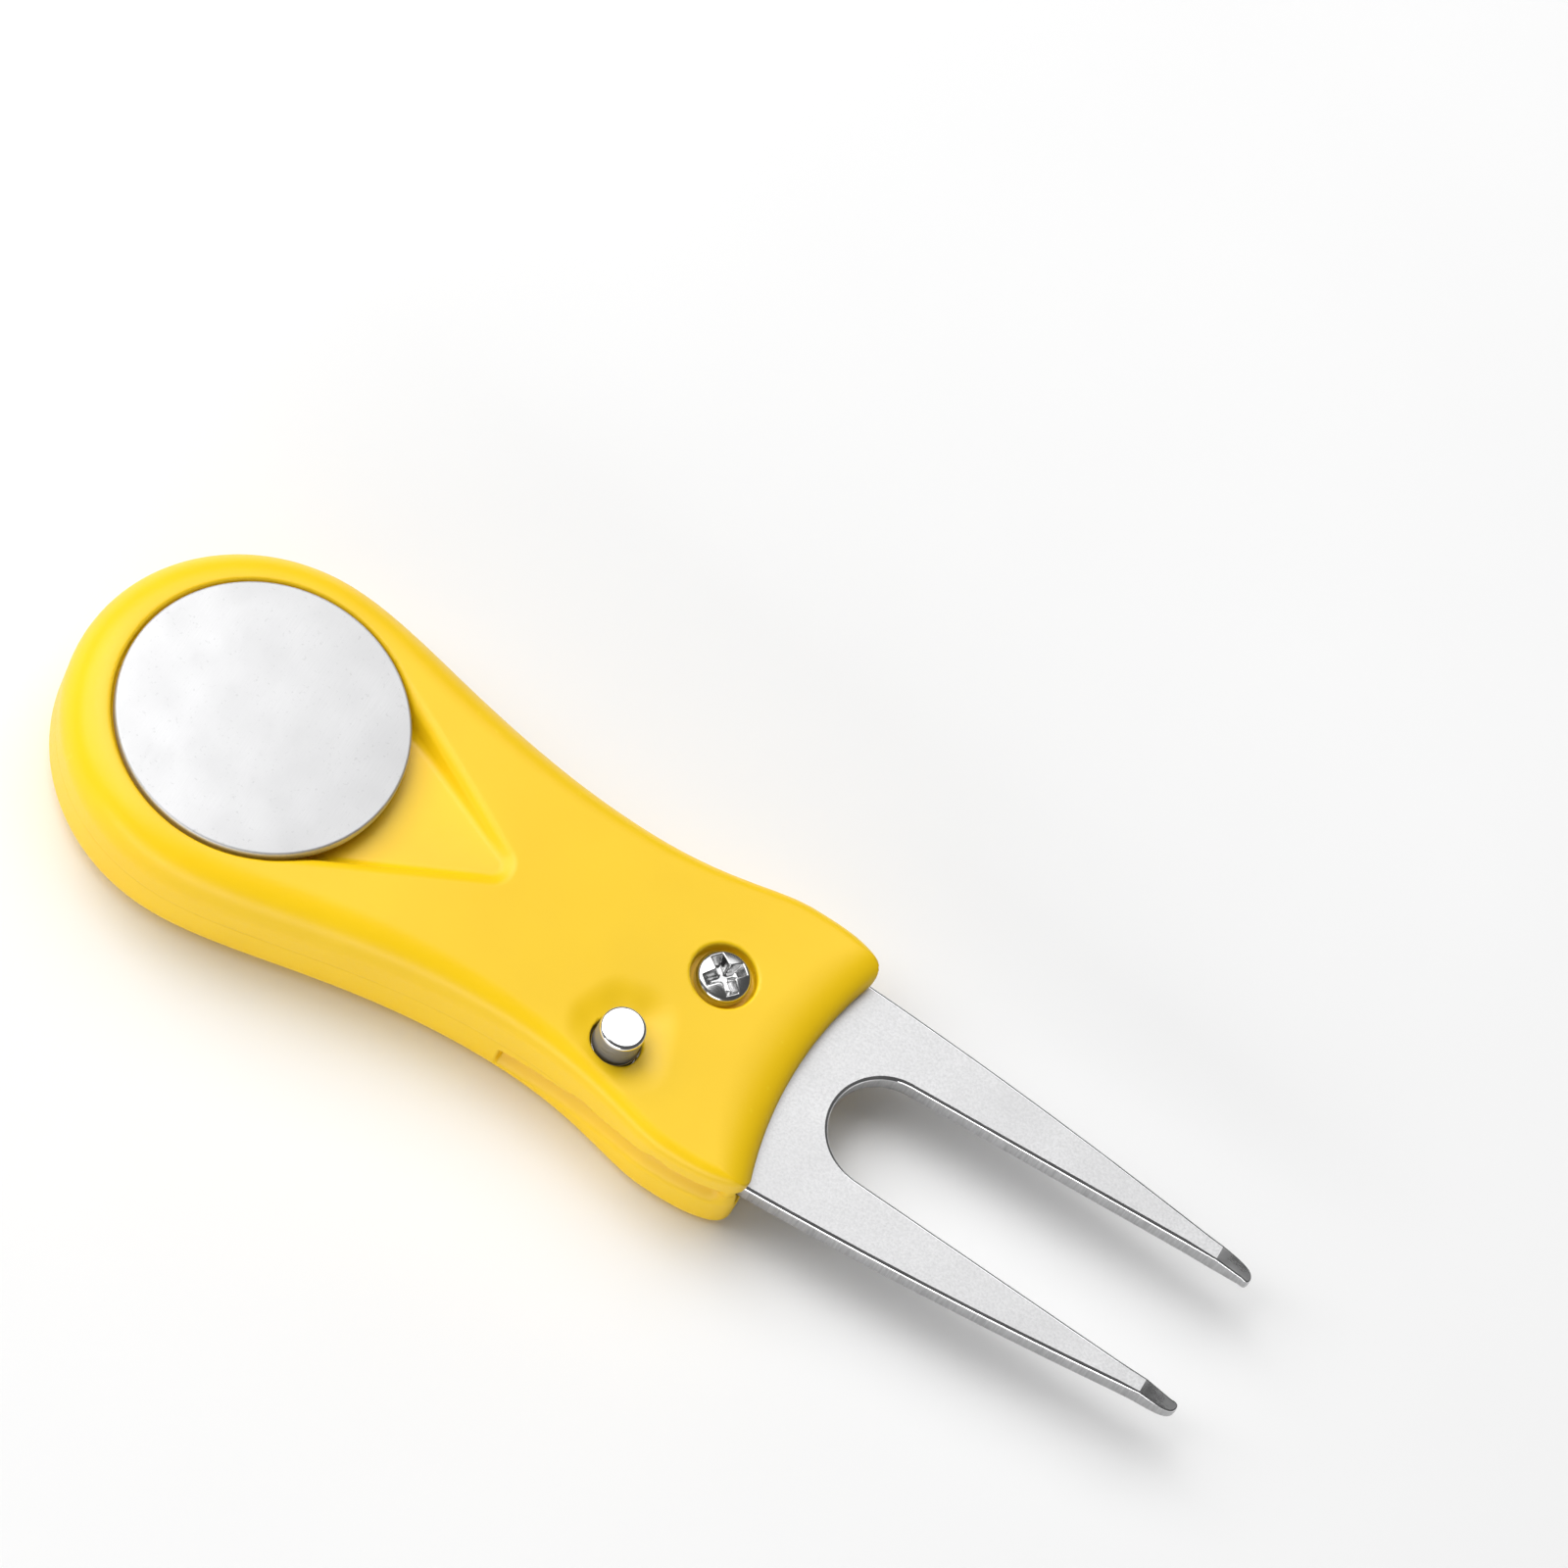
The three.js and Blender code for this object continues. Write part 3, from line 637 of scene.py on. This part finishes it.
def inset(points, distance, limit=1.2):
    """A closed outline moved inwards by a distance for each corner, along its mitre.

    At a corner sharper than the limit, a squared length, the mitre is cut short."""
    before = points - np.roll(points, 1, axis=0)
    after = np.roll(points, -1, axis=0) - points
    normal_before = np.c_[-before[:, 1], before[:, 0]] / np.linalg.norm(before, axis=1)[:, None]
    normal_after = np.c_[-after[:, 1], after[:, 0]] / np.linalg.norm(after, axis=1)[:, None]
    mitre = normal_before + normal_after
    scale = 2 / np.maximum((mitre**2).sum(1), limit)
    return points + mitre * (scale * distance)[:, None]


# ---------------------------------------------------------------- fork


# The fork's finishes, in the order of its material slots.
BLASTED, POLISHED, SHEARED, GROUND = range(4)


def prong_edge(x, inner=False):
    """Half-width of the fork at a place along it, outside or inside the prong."""
    u = (np.asarray(x, float) - PRONG_MIDDLE_X) / PRONG_SPAN
    if inner:
        return PRONG_INNER[0] + PRONG_INNER[1] * u
    return PRONG_OUTER[0] + PRONG_OUTER[1] * u + PRONG_OUTER[2] * u**2


def prong_end(side):
    """Outline of one prong from its outer edge at the handle, round the tip, to the gap's root."""
    outer_x = np.append(np.arange(PRONG_OUTER_START_X, TIP_RAMP_X - 1, PRONG_STEP), TIP_RAMP_X)
    outer = np.c_[outer_x, prong_edge(outer_x)]
    nose = (TIP_X, TIP_Y)
    inner_end = (TIP_END_X, float(prong_edge(TIP_END_X, True)))
    tip = np.vstack([
        bezier(10, outer[-1], *TIP_OUTSIDE, nose),
        bezier(7, nose, *TIP_INSIDE, inner_end),
    ])
    inner_x = np.append(TIP_RAMP_X, np.arange(PRONG_INNER_START_X, GAP_ROOT[0], -PRONG_STEP))
    inner = np.c_[inner_x, prong_edge(inner_x, True)]
    return np.vstack([outer, tip, inner]) * (1, side)


def fork_outline():
    """The whole blade in plan, anticlockwise."""
    root = arc(GAP_ROOT, GAP_RADIUS, 90, 270, 40)
    tang = arc(PIVOT, TANG_RADIUS, *TANG_ANGLES, 60)
    near_prong = prong_end(-1)[::-1]
    clockwise = np.vstack([prong_end(1), root, near_prong, HEEL, tang, LOCK_RELIEF])
    return clockwise[::-1]


def fork_top(x):
    """Height of the fork's top face: flat, then ground down to the tip."""
    fall = (FORK_TOP_Z - TIP_RAMP_Z) / (TIP_X - TIP_RAMP_X)
    return FORK_TOP_Z - fall * np.maximum(x - TIP_RAMP_X, 0)


def fork_rings(plan, steps=4):
    """Rings of the plate's skin from its bottom face to its top face, with the edges rounded."""
    rounding = lerp(*FORK_EDGE, smoothstep(plan[:, 0], *FORK_EDGE_X))
    angles = [math.radians(90 * k / steps) for k in range(steps + 1)]
    rings = []
    for a in angles:
        ring = inset(plan, rounding * (1 - math.sin(a)))
        rings.append(np.c_[ring, FORK_BOTTOM_Z + rounding * (1 - math.cos(a))])
    for a in angles:
        ring = inset(plan, rounding * (1 - math.cos(a)))
        rings.append(np.c_[ring, fork_top(ring[:, 0]) - rounding * (1 - math.sin(a))])
    return rings


def band(low, high, count):
    """Faces between two rings of points, each given by the index that it starts at."""
    faces = []
    for i in range(count):
        j = (i + 1) % count
        faces.append([low + i, low + j, high + j, high + i])
    return faces


def plate_faces(points, outlines):
    """Triangles of a flat face, from the indices of its outline and of its holes' rings."""
    flat = [index for part in outlines for index in part]
    loops = [[Vector((*points[i][:2], 0)) for i in part] for part in outlines]
    return [[flat[i] for i in face] for face in tessellate_polygon(loops)]


def split_at_ramp(ring, slack=0.3):
    """Where the top ring crosses the ramp's start on each prong, as pairs of indices."""
    on_ramp = [i for i, p in enumerate(ring) if p[0] > TIP_RAMP_X - slack]
    far = [i for i in on_ramp if ring[i][1] > 0]
    near = [i for i in on_ramp if ring[i][1] < 0]
    return [(far[0], far[-1]), (near[0], near[-1])]


def plate_loops(start, count, ramps):
    """The flat face's outline, and one loop for each ground tip."""
    main = list(range(count))
    tips = []
    for first, last in ramps:
        tips.append([start + i for i in range(first, last + 1)])
        main = [i for i in main if not first < i < last]
    return [[start + i for i in main], *tips]


def side_skin(levels, count):
    """Faces of the blade's sides and their finishes: sheared walls between polished edges."""
    middle = levels // 2 - 1
    faces = []
    finish = []
    for level in range(levels - 1):
        faces += band(level * count, (level + 1) * count, count)
        finish += [SHEARED if level in (middle, middle + 1) else POLISHED] * count
    return faces, finish


def hole_points(centre, radius, steps):
    """A hole's ring on the bottom face, then its ring on the top face."""
    ring = arc(centre, radius, 360, 0, steps)[:-1]
    return np.vstack([np.c_[ring, np.full(steps, z)] for z in (FORK_BOTTOM_Z, FORK_TOP_Z)])


def fork_mesh():
    """The blade with its two holes, and a finish for each of its faces."""
    plan = fork_outline()
    count = len(plan)
    rings = fork_rings(plan)
    points = np.vstack(rings)
    faces, finish = side_skin(len(rings), count)
    holes = []
    for centre, radius, steps in ((PIVOT, TANG_BORE, 48), (HOOK_HOLE, HOOK_HOLE_RADIUS, 20)):
        low = len(points)
        high = low + steps
        points = np.vstack([points, hole_points(centre, radius, steps)])
        faces += band(low, high, steps)
        finish += [SHEARED] * steps
        holes.append((list(range(low, high)), list(range(high, high + steps))))

    top_start = (len(rings) - 1) * count
    ramps = split_at_ramp(points[top_start : top_start + count])
    for is_top, start in ((True, top_start), (False, 0)):
        outline_loop, *tips = plate_loops(start, count, ramps if is_top else [])
        plate = plate_faces(points, [outline_loop, *(hole[is_top] for hole in holes)])
        ground = [face for tip in tips for face in plate_faces(points, [tip])]
        faces += [face if is_top else face[::-1] for face in plate + ground]
        finish += [BLASTED] * len(plate) + [GROUND] * len(ground)

    mesh = mesh_of("fork_blade", points, faces)
    mesh.polygons.foreach_set("material_index", np.array(finish, np.int32))
    sharpen(mesh, 28)
    flat = [kind in (BLASTED, GROUND) for kind in finish]
    mesh.polygons.foreach_set("use_smooth", ~np.array(flat))
    return mesh


# ---------------------------------------------------------------- screw, sleeve, spring


def screw_field(x, y, z):
    """A pan head with a cross recess, on a plain shank."""
    r = np.hypot(x - PIVOT[0], y - PIVOT[1])
    crown = SCREW_TOP_Z - SCREW_CROWN * r**2
    head = round_and(r - SCREW_HEAD_RADIUS, z - crown, SCREW_EDGE)
    head = round_and(head, SCREW_SEAT_Z - z, 0.1)
    inside_head = SCREW_TOP_Z - 0.9
    shank = np.maximum(r - SCREW_SHANK_RADIUS, np.maximum(SCREW_END_Z - z, z - inside_head))
    return carve(np.minimum(head, shank), cross_field(x, y, z), 0.09)


def cross_field(x, y, z):
    """The screw's cross recess, whose arms get shorter and narrower with depth."""
    turn = math.radians(CROSS_TURN)
    u = abs((x - PIVOT[0]) * math.cos(turn) + (y - PIVOT[1]) * math.sin(turn))
    v = abs((y - PIVOT[1]) * math.cos(turn) - (x - PIVOT[0]) * math.sin(turn))
    depth = SCREW_TOP_Z - z
    reach = CROSS_REACH[0] - CROSS_REACH[1] * depth
    half_width = CROSS_HALF_WIDTH[0] - CROSS_HALF_WIDTH[1] * depth
    one = np.maximum(u - reach, v - half_width)
    other = np.maximum(v - reach, u - half_width)
    fillet = 0.25
    return round_and(round_or(one, other, fillet), CROSS_FLOOR_Z - z, fillet)


def sleeve_field(x, y, z):
    """The sleeve nut that the fork turns on, with a driver slot across its flange."""
    flange = hole(x, y, z, PIVOT, FLANGE_RADIUS, *FLANGE_Z)
    flange = round_and(flange, FLANGE_Z[0] - z, 0.2)
    tube = hole(x, y, z, PIVOT, SLEEVE_RADIUS, FLANGE_Z[0], SLOT_TOP_Z)
    bore = hole(x, y, z, PIVOT, SLEEVE_BORE, FLANGE_Z[1])
    slot = np.maximum(abs(y - PIVOT[1]) - DRIVER_SLOT, z - FLANGE_Z[0] - DRIVER_SLOT)
    return carve(carve(np.minimum(flange, tube), bore, 0.08), slot, 0.06)


def coil_mesh(name, centre, radius, wire, bottom, top, turns):
    """A round wire wound into a coil, with flat ends closed."""
    sides = 12
    steps = int(turns * 36)
    points = []
    for k in range(steps + 1):
        angle = 2 * math.pi * turns * k / steps
        height = lerp(bottom + wire / 2, top - wire / 2, k / steps)
        for s in range(sides):
            around = 2 * math.pi * s / sides
            out = radius + wire / 2 * math.cos(around)
            points.append((
                centre[0] + out * math.cos(angle),
                centre[1] + out * math.sin(angle),
                height + wire / 2 * math.sin(around),
            ))
    faces = [list(range(sides))[::-1], list(range(steps * sides, (steps + 1) * sides))]
    for k in range(steps):
        faces += band(k * sides, (k + 1) * sides, sides)
    return sharpen(face_out(mesh_of(name, points, faces)))


# ---------------------------------------------------------------- materials


class Shader:
    """A material with its Principled shader and short ways to add nodes."""

    def __init__(self, name):
        self.material = bpy.data.materials.new(name)
        self.material.use_nodes = True
        self.nodes = self.material.node_tree.nodes
        self.links = self.material.node_tree.links
        self.surface = self.nodes["Principled BSDF"]
        self.place = self.nodes.new("ShaderNodeTexCoord").outputs["Object"]

    def set(self, **values):
        """Sets sockets of the surface, with _ for each space in their names."""
        for name, value in values.items():
            self.surface.inputs[name.replace("_", " ")].default_value = value

    def feed(self, socket, output):
        self.links.new(output, self.surface.inputs[socket])

    def noise(self, size_mm, detail=2.0, stretch=(1, 1, 1), roughness=0.5):
        """Noise with features of about that size."""
        spread = self.nodes.new("ShaderNodeMapping")
        spread.inputs["Scale"].default_value = [s / (size_mm * MM) for s in stretch]
        self.links.new(self.place, spread.inputs["Vector"])
        node = self.nodes.new("ShaderNodeTexNoise")
        node.inputs["Scale"].default_value = 1.0
        node.inputs["Detail"].default_value = detail
        node.inputs["Roughness"].default_value = roughness
        self.links.new(spread.outputs["Vector"], node.inputs["Vector"])
        return node.outputs["Fac"]

    def span(self, value, low, high, from_low=0.3, from_high=0.7):
        """A value from one range spread onto another."""
        node = self.nodes.new("ShaderNodeMapRange")
        node.inputs["From Min"].default_value = from_low
        node.inputs["From Max"].default_value = from_high
        node.inputs["To Min"].default_value = low
        node.inputs["To Max"].default_value = high
        self.links.new(value, node.inputs["Value"])
        return node.outputs["Result"]

    def tint(self, value, dark, light):
        """Base colour from dark to light over a noise's usual range."""
        self.feed("Base Color", self.blend(self.span(value, 0, 1), dark, light))

    def math(self, operation, a, b):
        """Two values, each a number or an output, put together."""
        node = self.nodes.new("ShaderNodeMath")
        node.operation = operation
        for socket, value in zip(node.inputs, (a, b)):
            if isinstance(value, (int, float)):
                socket.default_value = value
            else:
                self.links.new(value, socket)
        return node.outputs["Value"]

    def blend(self, factor, a, b):
        """One colour into another by a factor; each is a colour or an output."""
        node = self.nodes.new("ShaderNodeMix")
        node.data_type = "RGBA"
        self.links.new(factor, node.inputs["Factor"])
        for socket, value in ((node.inputs[6], a), (node.inputs[7], b)):
            if isinstance(value, tuple):
                socket.default_value = (*value, 1)
            else:
                self.links.new(value, socket)
        return node.outputs[2]

    def edges(self, low=0.58, high=0.68):
        """1 along worn, sharply convex edges and 0 elsewhere."""
        node = self.nodes.new("ShaderNodeNewGeometry")
        return self.span(node.outputs["Pointiness"], 0, 1, low, high)

    def bump(self, height, distance_mm, strength=1.0):
        """Raises the surface a little by a height."""
        node = self.nodes.new("ShaderNodeBump")
        node.inputs["Strength"].default_value = strength
        node.inputs["Distance"].default_value = distance_mm * MM
        self.links.new(height, node.inputs["Height"])
        self.feed("Normal", node.outputs["Normal"])


def grey(value, blue=0.005):
    """A neutral metal tone, a touch towards blue."""
    return (value, value, value + blue)


def yellow_plastic():
    """Satin moulded plastic: soft mottling, a fine grain, and edges rubbed a little smoother."""
    shader = Shader("yellow_plastic")
    mottle = shader.noise(9, detail=3)
    grain = shader.noise(0.28, detail=2)
    rubbed = shader.edges()
    body = shader.blend(shader.span(mottle, 0, 1), (0.93, 0.592, 0.004), (0.96, 0.623, 0.006))
    shader.feed("Base Color", shader.blend(rubbed, body, (0.97, 0.66, 0.02)))
    rough = shader.span(grain, 0.32, 0.42)
    smoother = shader.math("MULTIPLY", rubbed, 0.08)
    shader.feed("Roughness", shader.math("SUBTRACT", rough, smoother))
    shader.set(IOR=1.49, Specular_IOR_Level=0.42)
    shader.bump(grain, 0.006)
    return shader.material


def blasted_steel():
    """Bead-blasted stainless steel: a fine, even, sparkling grain."""
    shader = Shader("blasted_steel")
    grain = shader.noise(0.24, detail=3, roughness=0.7)
    cloud = shader.noise(6, detail=3)
    tone = shader.blend(shader.span(grain, 0, 1), grey(0.43), grey(0.62))
    shader.feed("Base Color", shader.blend(shader.span(cloud, 0, 0.25), tone, grey(0.54)))
    rough = shader.math("ADD", shader.span(grain, 0.36, 0.48), shader.span(cloud, -0.03, 0.03))
    shader.feed("Roughness", rough)
    shader.set(Metallic=1.0)
    shader.bump(grain, 0.008)
    return shader.material


def polished_steel(name, tone, rough):
    """Polished metal with a few fine hairlines and faint smudges."""
    shader = Shader(name)
    lines = shader.noise(0.12, detail=2, stretch=(0.06, 1, 1))
    smudge = shader.noise(2.2, detail=3)
    darker = tuple(channel * 0.88 for channel in tone)
    shader.tint(smudge, darker, tone)
    smudged = shader.span(smudge, rough * 0.7, rough * 1.4)
    shader.feed("Roughness", shader.math("ADD", smudged, shader.span(lines, 0, 0.05)))
    shader.set(Metallic=1.0)
    shader.bump(lines, 0.001, 0.6)
    return shader.material


def sheared_steel():
    """The punched sides of the fork: mid grey with upright drag marks."""
    shader = Shader("sheared_steel")
    marks = shader.noise(0.22, detail=3, stretch=(1, 1, 0.08), roughness=0.6)
    shader.tint(marks, grey(0.36), grey(0.54))
    shader.feed("Roughness", shader.span(marks, 0.30, 0.45))
    shader.set(Metallic=1.0)
    shader.bump(marks, 0.01)
    return shader.material


def turned_side_painted_shade():
    """The pin's turned side: satin, with rings round it, on a dark grey base colour that is
    painted shade for the dark surroundings it reflects.
    """
    shader = Shader("turned_steel_painted_shade")
    rings = shader.noise(0.09, detail=2, stretch=(0.05, 0.05, 1))
    # Painted shade: a dark grey, half-metallic base stands in for the dark surroundings that the
    # pin's side reflects.
    shader.tint(rings, (0.20, 0.215, 0.26), (0.28, 0.295, 0.34))
    shader.feed("Roughness", shader.span(rings, 0.26, 0.38))
    shader.set(Metallic=0.4)
    shader.bump(rings, 0.002)
    return shader.material


def brushed_disc():
    """Finely brushed steel: short strokes along one direction, a faint cloudiness, dull specks."""
    shader = Shader("brushed_disc")
    strokes = shader.noise(0.1, detail=3, stretch=(1, 0.04, 1))
    cloud = shader.noise(5, detail=4)
    specks = shader.span(shader.noise(0.3, detail=2), 0, 0.3, 0.64, 0.74)
    tone = shader.blend(shader.span(strokes, 0, 1), grey(0.63), grey(0.69))
    clouded = shader.blend(shader.span(cloud, 0, 0.5), tone, grey(0.60))
    shader.feed("Base Color", shader.blend(specks, clouded, grey(0.40)))
    brushed = shader.span(strokes, 0.56, 0.64)
    shader.feed("Roughness", shader.math("ADD", brushed, shader.span(cloud, -0.01, 0.02)))
    shader.set(Metallic=1.0)
    shader.bump(strokes, 0.002, 0.8)
    return shader.material


def spring_steel():
    """Drawn spring wire: dark, slightly oily, with lengthwise streaks."""
    shader = Shader("spring_steel")
    streaks = shader.noise(0.1, detail=2, stretch=(1, 1, 0.2))
    shader.tint(streaks, grey(0.36, 0.02), grey(0.55, 0.02))
    shader.feed("Roughness", shader.span(streaks, 0.22, 0.38))
    shader.set(Metallic=1.0)
    shader.bump(streaks, 0.003)
    return shader.material


def nickel():
    """The magnet's warm nickel plating, with a slight orange-peel texture."""
    shader = Shader("magnet_nickel")
    peel = shader.noise(0.35, detail=2)
    cloud = shader.noise(3, detail=3)
    shader.tint(cloud, (0.66, 0.62, 0.56), (0.78, 0.74, 0.68))
    shader.feed("Roughness", shader.span(peel, 0.16, 0.28))
    shader.set(Metallic=1.0)
    shader.bump(peel, 0.004)
    return shader.material


def nylon():
    """Natural nylon: off-white, a little uneven."""
    shader = Shader("nylon")
    cloud = shader.noise(1.5, detail=3)
    fine = shader.noise(0.15, detail=2)
    shader.tint(cloud, (0.72, 0.70, 0.64), (0.82, 0.80, 0.75))
    shader.feed("Roughness", shader.span(fine, 0.38, 0.55))
    shader.bump(fine, 0.004)
    return shader.material


def floor_material():
    """Pale paper, very slightly uneven."""
    shader = Shader("pale_floor")
    paper = shader.noise(40, detail=2)
    shader.tint(paper, grey(0.90, 0), grey(0.915, 0))
    shader.feed("Roughness", shader.span(paper, 0.75, 0.85))
    return shader.material


# ---------------------------------------------------------------- pieces


def add_piece(mesh, body, slot, materials, *nodes):
    """A finished piece on a body, in place of the CAD nodes that it replaces."""
    piece = bpy.data.objects.new(mesh.name, mesh)
    bpy.context.scene.collection.objects.link(piece)
    for material in materials:
        mesh.materials.append(material)
    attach(piece, body)
    if nodes:
        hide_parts(*nodes)
    return piece


def field_mesh(name, field, low, high, cell):
    """A closed mesh of a field's surface inside a box."""
    points, faces = field_surface(field, low, high, cell)
    return face_out(mesh_of(name, points, faces))


def build_handle(plastic):
    """Both shells, cut from one mesh so that the seam between them is flush."""
    cell = 0.21
    whole = field_mesh("handle", handle_field, HANDLE_LOW, HANDLE_HIGH, cell)
    shells = (("shell_front", "front_shell", True), ("shell_back", "back_shell", False))
    for name, node, above in shells:
        half = half_of(whole, name, above)
        shade_by_field(half, handle_field)
        add_piece(half, "handle", "yellow_plastic", [plastic], node)
    bpy.data.meshes.remove(whole)


def pivot_mesh(name, field, radius, bottom, top, cell):
    """A mesh of a field round the pivot's axis, shaded by the field."""
    low = (PIVOT[0] - radius, PIVOT[1] - radius, bottom)
    high = (PIVOT[0] + radius, PIVOT[1] + radius, top)
    mesh = field_mesh(name, field, low, high, cell)
    shade_by_field(mesh, field)
    return mesh


def build_screw(metal):
    cell = 0.06
    radius = SCREW_HEAD_RADIUS + 0.4
    bottom = SCREW_END_Z - 0.3
    top = SCREW_TOP_Z + 0.3
    mesh = pivot_mesh("screw_cross_head", screw_field, radius, bottom, top, cell)
    add_piece(mesh, "handle", "polished_metal", [metal], "pivot_screw")


def build_sleeve(metal):
    radius = FLANGE_RADIUS + 0.4
    mesh = pivot_mesh("sleeve_nut", sleeve_field, radius, 0, SLOT_TOP_Z + 0.4, 0.12)
    add_piece(mesh, "handle", "polished_metal", [metal], "pivot_barrel")


def build_button(metal, side):
    """The pin, with a turned finish and painted shade on its upright faces."""
    corners = [
        (0, BUTTON_BORE_TOP_Z, 0),
        (BUTTON_BORE, BUTTON_BORE_TOP_Z, 0),
        (BUTTON_BORE, COLLAR_Z[0], 0),
        (COLLAR_RADIUS, COLLAR_Z[0], 0.15),
        (COLLAR_RADIUS, COLLAR_Z[1], 0.15),
        (BUTTON_STEP_RADIUS, COLLAR_Z[1], 0),
        (BUTTON_STEP_RADIUS, BUTTON_STEP_Z, 0.12),
        (BUTTON_RADIUS, BUTTON_STEP_Z, 0),
        (BUTTON_RADIUS, BUTTON_TOP_Z, 0.38),
        (0, BUTTON_TOP_Z, 0),
    ]
    mesh = turned("button_pin", BUTTON, corners)
    for face in mesh.polygons:
        upright = abs(face.normal.z) < 0.1
        face.material_index = 1 if upright else 0
    add_piece(mesh, "button", "polished_metal", [metal, side], "lock_button")


def disc(name, radius, top, thickness, segments=96):
    """A round plate on the marker's axis, with its edges eased."""
    bottom = top - thickness
    corners = [(0, bottom, 0), (radius, bottom, 0.2), (radius, top, 0.25), (0, top, 0)]
    return turned(name, (0, 0), corners, segments)


def build_marker(steel):
    mesh = disc("marker_disc", MARKER_RADIUS, MARKER_TOP_Z, MARKER_THICKNESS, 180)
    add_piece(mesh, "marker", "brushed_disc", [steel], "ball_marker")


def build_magnet(metal):
    mesh = disc("magnet_disc", MAGNET_RADIUS, MAGNET_TOP_Z, MAGNET_THICKNESS)
    add_piece(mesh, "handle", "magnet_nickel", [metal], "marker_magnet")


def build_button_spring(metal):
    """The coil under the button, built at full height with a mesh of its own; nothing here
    shortens it as the button goes down.
    """
    height = (BUTTON_WELL_FLOOR_Z, BUTTON_BORE_TOP_Z)
    mesh = coil_mesh("button_coil", BUTTON, COIL_RADIUS, COIL_WIRE, *height, COIL_TURNS)
    piece = add_piece(mesh, "handle", "spring_steel", [metal], "button_spring")
    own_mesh(piece)


def dress_cad_node(name, material):
    """A CAD node that stays gets its finished material."""
    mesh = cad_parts[name].data
    mesh.materials.clear()
    mesh.materials.append(material)


def build_pieces():
    """Every piece with its finish; three hidden CAD nodes stay and only get a material."""
    plastic = yellow_plastic()
    chrome = polished_steel("polished_metal", (0.90, 0.90, 0.91), 0.10)
    ground = polished_steel("ground_steel", (0.70, 0.70, 0.705), 0.26)
    screw_steel = polished_steel("screw_steel", (0.60, 0.60, 0.60), 0.16)
    wire = spring_steel()
    build_handle(plastic)
    build_screw(screw_steel)
    build_sleeve(chrome)
    build_button(chrome, turned_side_painted_shade())
    build_marker(brushed_disc())
    build_magnet(nickel())
    build_button_spring(wire)
    fork_finishes = [blasted_steel(), chrome, sheared_steel(), ground]
    add_piece(fork_mesh(), "fork", "blasted_steel", fork_finishes, "fork")
    washer = nylon()
    dress_cad_node("upper_washer", washer)
    dress_cad_node("lower_washer", washer)
    dress_cad_node("torsion_spring", wire)


# ---------------------------------------------------------------- studio


def add_camera():
    """The photo's camera, found by fitting the marker's circle and the fork's outline."""
    camera = bpy.data.cameras.new("camera")
    camera.sensor_width = 36
    camera.lens = CAMERA_LENS
    camera.clip_start = 0.05
    camera.clip_end = 20
    holder = bpy.data.objects.new("camera", camera)
    bpy.context.scene.collection.objects.link(holder)
    place = Vector(CAMERA_PLACE) * MM
    aim = Vector(CAMERA_AIM) * MM
    turn = (aim - place).to_track_quat("-Z", "Y").to_matrix().to_4x4()
    roll = Matrix.Rotation(math.radians(CAMERA_ROLL), 4, "Z")
    holder.matrix_world = Matrix.Translation(place) @ turn @ roll
    bpy.context.scene.camera = holder


def add_floor():
    """A wide pale floor just under the back face."""
    mesh = bpy.data.meshes.new("floor")
    size = FLOOR_SIZE
    corners = [(-size, -size, 0), (size, -size, 0), (size, size, 0), (-size, size, 0)]
    mesh.from_pydata(corners, [], [(0, 1, 2, 3)])
    mesh.materials.append(floor_material())
    floor = bpy.data.objects.new("floor", mesh)
    floor.location.z = -FLOOR_DROP * MM
    bpy.context.scene.collection.objects.link(floor)


def add_softbox(name, direction, size, power):
    """A flat area light, width by height, that faces the tool from a metre away."""
    light = bpy.data.lights.new(name, "AREA")
    light.shape = "RECTANGLE"
    light.size, light.size_y = size
    light.energy = power
    holder = bpy.data.objects.new(name, light)
    away = Vector(direction).normalized()
    holder.location = Vector(LIGHT_AIM) * MM + away
    holder.rotation_euler = (-away).to_track_quat("-Z", "Y").to_euler()
    bpy.context.scene.collection.objects.link(holder)


def add_world(strength):
    world = bpy.data.worlds.new("studio")
    world.use_nodes = True
    background = world.node_tree.nodes["Background"]
    background.inputs["Color"].default_value = (1, 1, 1, 1)
    background.inputs["Strength"].default_value = strength
    bpy.context.scene.world = world


def add_studio():
    add_camera()
    add_floor()
    add_world(WORLD_STRENGTH)
    for name, (direction, size, power) in SOFTBOXES.items():
        add_softbox(name, direction, size, power)
    bpy.context.scene.view_settings.view_transform = "Standard"


build_pieces()
add_studio()
